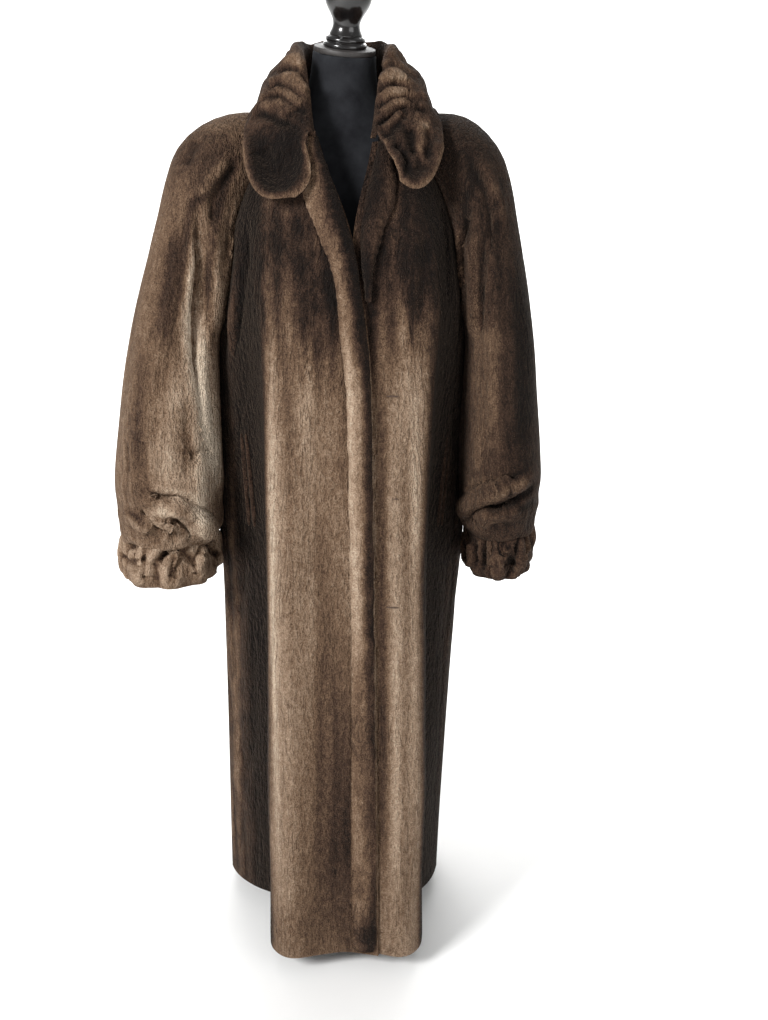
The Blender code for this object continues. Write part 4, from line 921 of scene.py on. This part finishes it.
# the ruched collar: rolls round the neck that run out into two soft lobes with thick rims
collarSettings = {
    "wall": 0.007, "edge": 0.0085, "flat": (0.72, 0.19), "area": 0.12, "tone": 0.14,
    "rollHeight": 0.0075, "rollSize": (0.085, 0.085, 0.024),
    "crinkle": 0.0030, "crinkleSize": (0.018, 0.018, 0.014),
    # the thick rim and the hollow of a lobe: height, distance from the edge, and half width
    "rim": (0.0045, 0.008, 0.007), "hollow": (-0.0060, 0.028, 0.012),
    # how far its outer edge hangs down, and the depths over which that sets in, half of it at each
    "fall": 0.029, "fallSides": (-0.095, -0.040), "fallBack": (0.000, 0.050),
    # moves of the wearer's right lobe: centre, half width and half height, then aside and down, in mm
    "lobeMoves": ((-72, 1190, 26, 30, 24, -10), (-66, 1222, 24, 26, 14, 0)),
    # strokes: painted highlight along the rims of the lobes and painted shade in the hollow and folds
    "strokes": (
        (-0.22, 12, ((-77, 1258), (-66, 1231), (-64, 1205), (-75, 1181))),
        (0.10, 8, ((-76, 1334), (-78, 1317), (-85, 1299))),
        (0.10, 7, ((-110, 1276), (-124, 1263), (-130, 1239))),
        (-0.10, 7, ((-56, 1299), (-52, 1278), (-48, 1258))),
        (0.28, 7, ((89, 1272), (103, 1268), (117, 1258), (126, 1245))),
        (0.22, 6, ((99, 1238), (109, 1225), (115, 1205))),
        (-0.12, 6, ((61, 1285), (79, 1278), (96, 1276))),
        (0.12, 6, ((75, 1341), (85, 1331), (89, 1313))),
        (-0.12, 8, ((61, 1238), (75, 1224), (85, 1205), (89, 1185)))),
    "patches": (
        (-63, 1347, 21, 21, 0.22), (80, 1331, 21, 33, 0.22), (-56, 1303, 23, 21, 0.16),
        (-92, 1205, 26, 38, -0.14), (117, 1245, 12, 29, 0.16), (71, 1224, 23, 43, -0.04),
        (-90, 1290, 30, 12, 0.10), (90, 1298, 24, 14, 0.14), (-69, 1222, 15, 38, -0.14)),
    "creases": (
        (-7, 5, ((-92, 1330), (-79, 1337), (-64, 1335), (-52, 1325), (-47, 1312))),
        (-6, 5, ((-104, 1306), (-89, 1315), (-72, 1310), (-54, 1295))),
        (-5, 6, ((-121, 1276), (-104, 1296), (-83, 1298), (-63, 1286), (-46, 1273))),
        (6, 9, ((-103, 1317), (-80, 1326), (-62, 1319), (-47, 1302))),
        (6, 9, ((-114, 1292), (-92, 1305), (-72, 1299), (-52, 1283))),
        (5, 9, ((-85, 1347), (-72, 1351), (-58, 1347), (-51, 1343))),
        (-8, 7, ((-136, 1260), (-122, 1273), (-108, 1275), (-92, 1269), (-70, 1254))),
        (6, 12, ((-128, 1273), (-110, 1285), (-89, 1284), (-67, 1272))),
        (-9, 13, ((-108, 1231), (-99, 1211), (-89, 1200), (-77, 1196))),
        (6, 9, ((-78, 1256), (-72, 1238), (-79, 1219))),
        (-6, 5, ((50, 1327), (58, 1336), (70, 1342), (90, 1338))),
        (-8, 5, ((50, 1302), (60, 1311), (75, 1315), (99, 1309))),
        (-7, 5, ((50, 1279), (70, 1295), (89, 1298), (110, 1286))),
        (-9, 5, ((50, 1256), (64, 1267), (75, 1278), (92, 1285), (120, 1278))),
        (-6, 6, ((60, 1240), (78, 1258), (89, 1273))),
        (6, 8, ((54, 1317), (74, 1328), (94, 1323))),
        (6, 8, ((54, 1293), (74, 1304), (94, 1305))),
        (6, 8, ((56, 1272), (71, 1285), (88, 1291), (107, 1281))),
        (5, 8, ((56, 1250), (74, 1267), (86, 1277))),
        (-8, 6, ((95, 1255), (99, 1238), (102, 1218))),
        (-7, 5, ((76, 1234), (87, 1222), (93, 1209), (90, 1192))),
        (5, 6, ((110, 1260), (112, 1238), (110, 1218))),
        (5, 6, ((81, 1250), (85, 1230), (98, 1214), (101, 1198))),
        (-5, 5, ((121, 1258), (124, 1236), (119, 1214))))}
ruchedCollar = startFromNode("ruchedCollar", "collar")
keepOuterSkin(ruchedCollar)
refine(ruchedCollar, collarSettings["edge"])
fromRim = rimDistance(ruchedCollar, lambda place: math.hypot(place.x, place.y) > 0.085)
points = readPoints(ruchedCollar)
normals = readNormals(ruchedCollar)
axisward = points[:, :2] / np.maximum(np.linalg.norm(points[:, :2], axis=1), 0.001)[:, None]
outside = softStep(-0.2, 0.5, np.sum(axisward * normals[:, :2], axis=1) + 0.6 * normals[:, 2])
behind = 0.25 + 0.75 * softStep(-0.02, 0.03, points[:, 1])
rolls = puffs(points, collarSettings["rollSize"], 11.0) * behind
upper = softStep(1.215, 1.285, points[:, 2])
crinkle = noiseAt(points, collarSettings["crinkleSize"], 12.0)
crinkle = crinkle * np.where(points[:, 0] > 0, 1.0, 0.4 + 0.5 * upper)
onLobe = softStep(1.26, 1.22, points[:, 2])
push = (rolls * collarSettings["rollHeight"] * upper + crinkle * collarSettings["crinkle"]) * outside
for key, leftShare in (("rim", 1.0), ("hollow", 0.2)):
    height, distance, halfWidth = collarSettings[key]
    lobeShare = onLobe * np.where(points[:, 0] > 0, leftShare, 1.0)
    push = push + np.exp(-((fromRim - distance) / halfWidth) ** 2) * lobeShare * height
# the front ends droop onto the lapels
droop = softStep(-0.075, -0.105, points[:, 1]) * softStep(0.085, 0.050, np.abs(points[:, 0]))
# and its fall hangs down over the seam at the sides and the back
fall = 0.5 * softStep(*collarSettings["fallSides"], points[:, 1])
fall = fall + 0.5 * softStep(*collarSettings["fallBack"], points[:, 1])
fall = softStep(0.040, 0.0, fromRim) * fall * collarSettings["fall"]
drop = np.stack((points[:, 0] * 0.0, fall * -0.45, -0.012 * droop - fall), axis=1)
# the wearer's right lobe spreads at its foot
for x, z, halfWidth, halfHeight, aside, down in collarSettings["lobeMoves"]:
    reach = ((points[:, 0] * 1000 - x) / halfWidth) ** 2 + ((points[:, 2] * 1000 - z) / halfHeight) ** 2
    share = np.exp(-reach) * softStep(-0.04, -0.08, points[:, 1]) / 1000
    drop = drop + share[:, None] * np.array((aside, 0.0, down))
writePoints(ruchedCollar, points + normals * push[:, None] + drop)
pressCreases(ruchedCollar, collarSettings["creases"], -1, 0.8, fade=0.08, holdRims=False)
collarGap = collarSettings["wall"] + 0.002
keepClear(ruchedCollar, [coatBack, rightSleeve, leftSleeve, rightFront, leftFront], collarGap,
          holdRims=False)
# and smooths out where it lies on the shoulders
points = readPoints(ruchedCollar)
onShoulder = softStep(0.034, 0.014, fromRim) * softStep(-0.100, -0.065, points[:, 1])
onShoulder = onShoulder * (0.3 + 0.7 * softStep(0.070, 0.040, points[:, 1]))
writePoints(ruchedCollar, neighbourMeans(ruchedCollar, points, 14, onShoulder[:, None] * 0.6))
nearRim = softStep(0.030, 0.004, fromRim) * softStep(-0.105, -0.085, points[:, 1])
dropOnto(ruchedCollar, [coatBack, rightSleeve, leftSleeve], nearRim, collarGap)
points = readPoints(ruchedCollar)
writePoints(ruchedCollar, neighbourMeans(ruchedCollar, points, 3, onShoulder[:, None] * 0.5))
rimPlaces = [Vector(place) for place, near in zip(readPoints(ruchedCollar), fromRim) if near < 0.002]


def collarTone(points):
    # dark, with a painted highlight along the rim round each lobe and near-black painted shade in the
    # hollow of the wearer's right one, weaker in the left one
    distance = distanceTo(rimPlaces, points)
    low = softStep(1.27, 1.22, points[:, 2])
    lobeRimHighlight = np.exp(-(distance / 0.0065) ** 2) * low
    hollowShade = np.exp(-((distance - 0.030) / 0.015) ** 2) * low * np.where(points[:, 0] > 0, 0.4, 1.0)
    return collarSettings["tone"] + 0.34 * lobeRimHighlight - 0.14 * hollowShade + 0.07 * (1.0 - low)


giveWall(ruchedCollar, collarSettings["wall"], 0.0030)
# painted shade in the hollows and creases and painted highlight on the rolls
paintTone(ruchedCollar, collarTone, collarSettings["patches"], collarSettings["creases"], relief=62.0,
          strokes=collarSettings["strokes"], creaseShading=0.55)
finishPiece(ruchedCollar, trimFur, "collar")

# lapels and the turned-back front edge, thick rolls of two layers
lapelSettings = {
    "edge": 0.010, "roll": 0.0055, "crumple": 0.0020, "topLift": 0.016, "sink": 0.004,
    # changes of tone: a painted highlight along the lit side of the roll, a drop at its foot, and small
    # lumps
    "rollHighlight": 0.14, "footDrop": 0.13, "mottle": 0.12,
    # tones of chest and skirt, shade beside the front, drop below the chest, and sideways lean of the top
    "right": {"node": "lapel_band_right", "flat": (0.050, 1.24), "area": 0.050,
        "chest": 0.34, "skirt": 0.58, "shade": 0.40, "tail": 0.0, "lean": -0.3,
        "patches": ((33, 66, 16, 30, -0.30),)},
    "left": {"node": "lapel_left", "flat": (0.050, 0.30), "area": 0.0090,
        "chest": 0.13, "skirt": 0.13, "shade": 0.06, "tail": 0.14, "lean": 0.3,
        "patches": ()}}


def acrossRows(points, step=0.012):
    # share of the way across a long upright strip, 0 at its lowest x and 1 at its highest
    rows = np.round(points[:, 2] / step).astype(int)
    rows -= rows.min()
    low = np.full(rows.max() + 1, 9.0)
    high = np.full(rows.max() + 1, -9.0)
    np.minimum.at(low, rows, points[:, 0])
    np.maximum.at(high, rows, points[:, 0])
    return (points[:, 0] - low[rows]) / np.maximum(high[rows] - low[rows], 0.001)


def makeLapel(key):
    settings = lapelSettings[key]
    piece = startFromNode(key + "Lapel", settings["node"])
    refine(piece, lapelSettings["edge"])
    points = readPoints(piece)
    normals = readNormals(piece)
    facing = softStep(0.1, 0.7, -normals[:, 1] + 0.3 * normals[:, 2])
    across = acrossRows(points)
    crumple = noiseAt(points, (0.016, 0.016, 0.020), 14.0)
    low = softStep(0.72, 0.48, points[:, 2])
    push = (1.0 - (2.0 * across - 1.0) ** 2) * lapelSettings["roll"] * facing * (1.0 - 0.7 * low)
    points = points + normals * (push + crumple * lapelSettings["crumple"])[:, None]
    points[:, 1] += facing * low * lapelSettings["sink"]      # nearly flush with the front in the skirt
    # its top runs on under the collar
    lift = softStep(1.195, 1.240, points[:, 2]) * lapelSettings["topLift"]
    writePoints(piece, points + lift[:, None] * np.array((settings["lean"], 0.45, 1.0)))
    onlySelect(piece)
    bpy.ops.object.shade_smooth()

    def tone(places):
        skirt = softStep(1.04, 0.86, places[:, 2])
        across = acrossRows(places) if key == "right" else 1.0 - acrossRows(places)
        # painted highlight on the lit side of the roll, and painted shade on its far side beside the front
        litSideHighlight = np.exp(-((across - 0.20) / 0.20) ** 2) * softStep(0.40, 0.60, places[:, 2])
        shaded = softStep(0.45, 0.90, across) * (0.45 + 0.55 * softStep(0.40, 0.60, places[:, 2]))
        level = settings["chest"] + (settings["skirt"] - settings["chest"]) * skirt
        level = level - softStep(0.66, 0.42, places[:, 2]) * lapelSettings["footDrop"]
        level = level + noiseAt(places, (0.012, 0.03, 0.06), 15.0) * lapelSettings["mottle"]
        tail = softStep(1.10, 1.06, places[:, 2]) * settings["tail"]
        return level + lapelSettings["rollHighlight"] * litSideHighlight - settings["shade"] * shaded - tail

    paintTone(piece, tone, settings["patches"])
    finishPiece(piece, trimFur, settings["node"])


for key in ("right", "left"):
    makeLapel(key)

# rolled lips of the slit pockets
lipSettings = {"edge": 0.008, "tone": 0.22}
for key in ("right", "left"):
    for part in ("front", "back"):
        node = f"pocket_{key}_{part}_lip"
        lip = startFromNode(f"{key}Pocket{part.capitalize()}Lip", node)
        refine(lip, lipSettings["edge"])
        onlySelect(lip)
        bpy.ops.object.shade_smooth()
        paintTone(lip, lipSettings["tone"], ())
        finishPiece(lip, trimFur, node)

# the velvet form: its sharp edges stay crisp where the rest is rounded
formSettings = {"sharpDegrees": 52, "crease": 0.9, "smoothDegrees": 50}
# Cotton velvet, woven with a short cut pile: black, with a soft grey sheen at grazing angles
velvet = patternMaterial("cotton_velvet", "ShaderNodeTexNoise",
                         {"Scale": 26.0, "Detail": 4.0, "Roughness": 0.6},
                         [(0.30, "#18181b"), (0.70, "#2b2c2f")],
                         {"Roughness": 0.95, "Specular IOR Level": 0.1, "Sheen Weight": 0.5,
                          "Sheen Roughness": 0.4, "Sheen Tint": hexLinear("#7d8286")},
                         (0.5, 0.0004, {"Scale": 900.0, "Detail": 2.0}))
dressForm = startFromNode("dressForm", "form_torso")
onlySelect(dressForm)
bpy.ops.object.mode_set(mode="EDIT")
bpy.ops.mesh.select_mode(type="EDGE")
bpy.ops.mesh.select_all(action="DESELECT")
bpy.ops.mesh.edges_select_sharp(sharpness=math.radians(formSettings["sharpDegrees"]))
bpy.ops.transform.edge_crease(value=formSettings["crease"])
bpy.ops.object.mode_set(mode="OBJECT")
applyModifier(dressForm, "SUBSURF", levels=2, render_levels=2)
onlySelect(dressForm)
bpy.ops.object.shade_smooth_by_angle(angle=math.radians(formSettings["smoothDegrees"]))
finishPiece(dressForm, velvet, "form_torso")

# neck cap and finial, turned round the neck's axis
# Beech, turned, stained and lacquered black: glossy, with a thin clear coat
lacquer = patternMaterial("black_lacquered_beech", "ShaderNodeTexNoise", {"Scale": 60.0, "Detail": 4.0},
                          [(0.35, "#0d0b0b"), (0.65, "#1a1716")],
                          {"Roughness": 0.22, "Coat Weight": 0.6, "Coat Roughness": 0.08})
# Acetate satin, drawn smooth over the cap: black, with soft wide highlights and a faint weave
satinCover = patternMaterial("acetate_satin", "ShaderNodeTexNoise", {"Scale": 140.0, "Detail": 3.0},
                             [(0.30, "#2c2928"), (0.70, "#3f3b39")], {"Roughness": 0.55})

neckSettings = {
    "foot": (0.003, 0.0, 1.362), "forward": 13.0, "sideways": 5.0, "steps": 72,
    # rise along the neck, then radius and height of the profile, all in millimetres
    "cap": (0.3, ((0, 0.0), (42.6, 0.0), (44.2, 0.6), (44.8, 1.8), (44.8, 6.0), (44.2, 7.3), (42.8, 8.0),
                  (40.5, 8.0), (40.0, 7.7), (39.5, 8.0), (0, 8.0))),
    "finial": (8.6, ((0, 0), (30.0, 0.0), (31.2, 1.0), (31.5, 3.2), (31.0, 5.2), (29.4, 6.6), (27.9, 7.2),
                     (27.5, 8.0), (28.2, 9.0), (28.7, 10.8), (28.3, 12.8), (26.6, 14.6), (24.4, 15.6),
                     (23.8, 16.4), (24.0, 17.4), (22.6, 20.0), (20.8, 23.6), (19.7, 27.6), (19.5, 31.0),
                     (20.2, 35.0), (22.2, 40.0), (25.4, 45.6), (28.8, 51.0), (31.6, 56.6), (33.6, 62.6),
                     (34.4, 69.0), (34.0, 75.4), (32.2, 81.6), (29.0, 87.2), (24.0, 92.0), (17.4, 95.6),
                     (9.0, 97.6), (0, 98.0)))}


def turnPiece(name, rise, profile):
    # the profile drawn by extruding one point, spun, and tilted as the neck is
    foot = Vector(neckSettings["foot"]) + Vector((0, 0, rise / 1000))
    bpy.ops.object.select_all(action="DESELECT")
    bpy.ops.mesh.primitive_plane_add(size=0.001, location=(0, 0, 0))
    piece = bpy.context.object
    piece.name = name
    bpy.ops.object.mode_set(mode="EDIT")
    bpy.ops.mesh.select_mode(type="VERT")
    bpy.ops.mesh.select_all(action="SELECT")
    bpy.ops.mesh.merge(type="CENTER")
    bpy.ops.transform.translate(value=foot)
    for (lastRadius, lastHeight), (radius, height) in zip(profile, profile[1:]):
        move = ((radius - lastRadius) / 1000, 0, (height - lastHeight) / 1000)
        bpy.ops.mesh.extrude_region_move(TRANSFORM_OT_translate={"value": move})
    bpy.ops.mesh.select_all(action="SELECT")
    bpy.ops.mesh.spin(steps=neckSettings["steps"], angle=2 * math.pi, center=foot, axis=(0, 0, 1))
    bpy.ops.mesh.select_all(action="SELECT")
    bpy.ops.mesh.remove_doubles(threshold=0.00002)
    bpy.ops.mesh.normals_make_consistent(inside=False)
    for axis, degrees in (("Y", neckSettings["sideways"]), ("X", neckSettings["forward"])):
        bpy.ops.transform.rotate(value=-math.radians(degrees), orient_axis=axis, orient_type="GLOBAL",
                                 center_override=neckSettings["foot"])
    bpy.ops.object.mode_set(mode="OBJECT")
    bpy.ops.object.shade_smooth_by_angle(angle=math.radians(38))
    return piece


neckCap = turnPiece("neckCap", *neckSettings["cap"])
finishPiece(neckCap, satinCover, "neck_cap")
turnedFinial = turnPiece("turnedFinial", *neckSettings["finial"])
finishPiece(turnedFinial, lacquer, "finial")

# the CAD solids that are kept as they are
threadPattern = {"Scale": 420.0, "Distortion": 1.2, "bands_direction": "DIAGONAL"}
steelPattern = {"Scale": 500.0, "Detail": 2.0}
# Buttonhole twist, polyester, worked over a few strands: matt, with a diagonal ply
threadTwist = patternMaterial("buttonhole_twist", "ShaderNodeTexWave", threadPattern,
                              [(0.2, "#2b1d15"), (0.8, "#5d4636")], {"Roughness": 0.7},
                              (0.6, 0.0003, threadPattern))
# Mild steel, turned and powder coated black: satin with a fine orange peel
coatedSteel = patternMaterial("powder_coated_steel", "ShaderNodeTexNoise", steelPattern,
                              [(0.3, "#131314"), (0.7, "#1d1d1f")], {"Roughness": 0.45},
                              (0.25, 0.0002, steelPattern))
for node, material in (("eye_1", threadTwist), ("eye_2", threadTwist), ("eye_3", threadTwist),
                       ("pole", coatedSteel), ("base", coatedSteel)):
    nodes[node].material_slots[0].material = material
print("form and stand ready")

# pale studio sweep, in metres
sweepSettings = {"width": 14, "depth": 9, "height": 6, "bend": 2.2}
bpy.ops.object.select_all(action="DESELECT")
bpy.ops.mesh.primitive_plane_add(size=1.0, location=(0, 0, 0))
studioSweep = bpy.context.object
studioSweep.name = "studioSweep"
bpy.ops.object.mode_set(mode="EDIT")
bpy.ops.mesh.select_all(action="SELECT")
bpy.ops.transform.resize(value=(sweepSettings["width"], sweepSettings["depth"], 1))
bpy.ops.mesh.select_mode(type="EDGE")
bpy.ops.mesh.select_all(action="DESELECT")
selectEdges(studioSweep, lambda edge: all(corner.co.y > 4.0 for corner in edge.verts))
bpy.ops.mesh.extrude_region_move(TRANSFORM_OT_translate={"value": (0, 0, sweepSettings["height"])})
bpy.ops.mesh.select_all(action="DESELECT")
selectEdges(studioSweep, lambda edge: all(corner.co.y > 4.0 and corner.co.z < 0.1 for corner in edge.verts))
bpy.ops.mesh.bevel(offset=sweepSettings["bend"], segments=14, affect="EDGES")
bpy.ops.object.mode_set(mode="OBJECT")
bpy.ops.object.shade_smooth()
# Seamless paper, matt white, with faint clouds in its pulp
paper = patternMaterial("seamless_paper", "ShaderNodeTexNoise", {"Scale": 14.0, "Detail": 4.0},
                        [(0.3, "#fafaf9"), (0.7, "#fcfcfb")], {"Roughness": 0.9})
studioSweep.data.materials.append(paper)

# soft studio light: places and aims in metres, sizes in metres, powers in watts
lightSettings = {
    "room": 0.34,
    "keyLight": ((-2.4, -2.8, 2.5), (0, 0, 0.8), 1.1, 185.0),
    "fillLight": ((2.6, -2.6, 1.6), (0, 0, 0.8), 2.2, 34.0),
    "backLight": ((0.0, 3.2, 3.4), (0, 0, 0.8), 2.6, 70.0),
    "wallLight": ((0.0, 2.0, 3.8), (0, 4.6, 1.4), 3.0, 170.0)}
world = bpy.data.worlds.new("softRoom")
world.use_nodes = True
world.node_tree.nodes["Background"].inputs["Color"].default_value = (1.0, 1.0, 1.0, 1.0)
world.node_tree.nodes["Background"].inputs["Strength"].default_value = lightSettings["room"]
bpy.context.scene.world = world
for name in ("keyLight", "fillLight", "backLight", "wallLight"):
    place, aim, size, power = lightSettings[name]
    lamp = bpy.data.lights.new(name, "AREA")
    lamp.size = size
    lamp.energy = power
    light = bpy.data.objects.new(name, lamp)
    bpy.context.scene.collection.objects.link(light)
    light.location = place
    light.rotation_euler = (Vector(aim) - Vector(place)).to_track_quat("-Z", "Y").to_euler()
bpy.context.scene.view_settings.view_transform = "Standard"
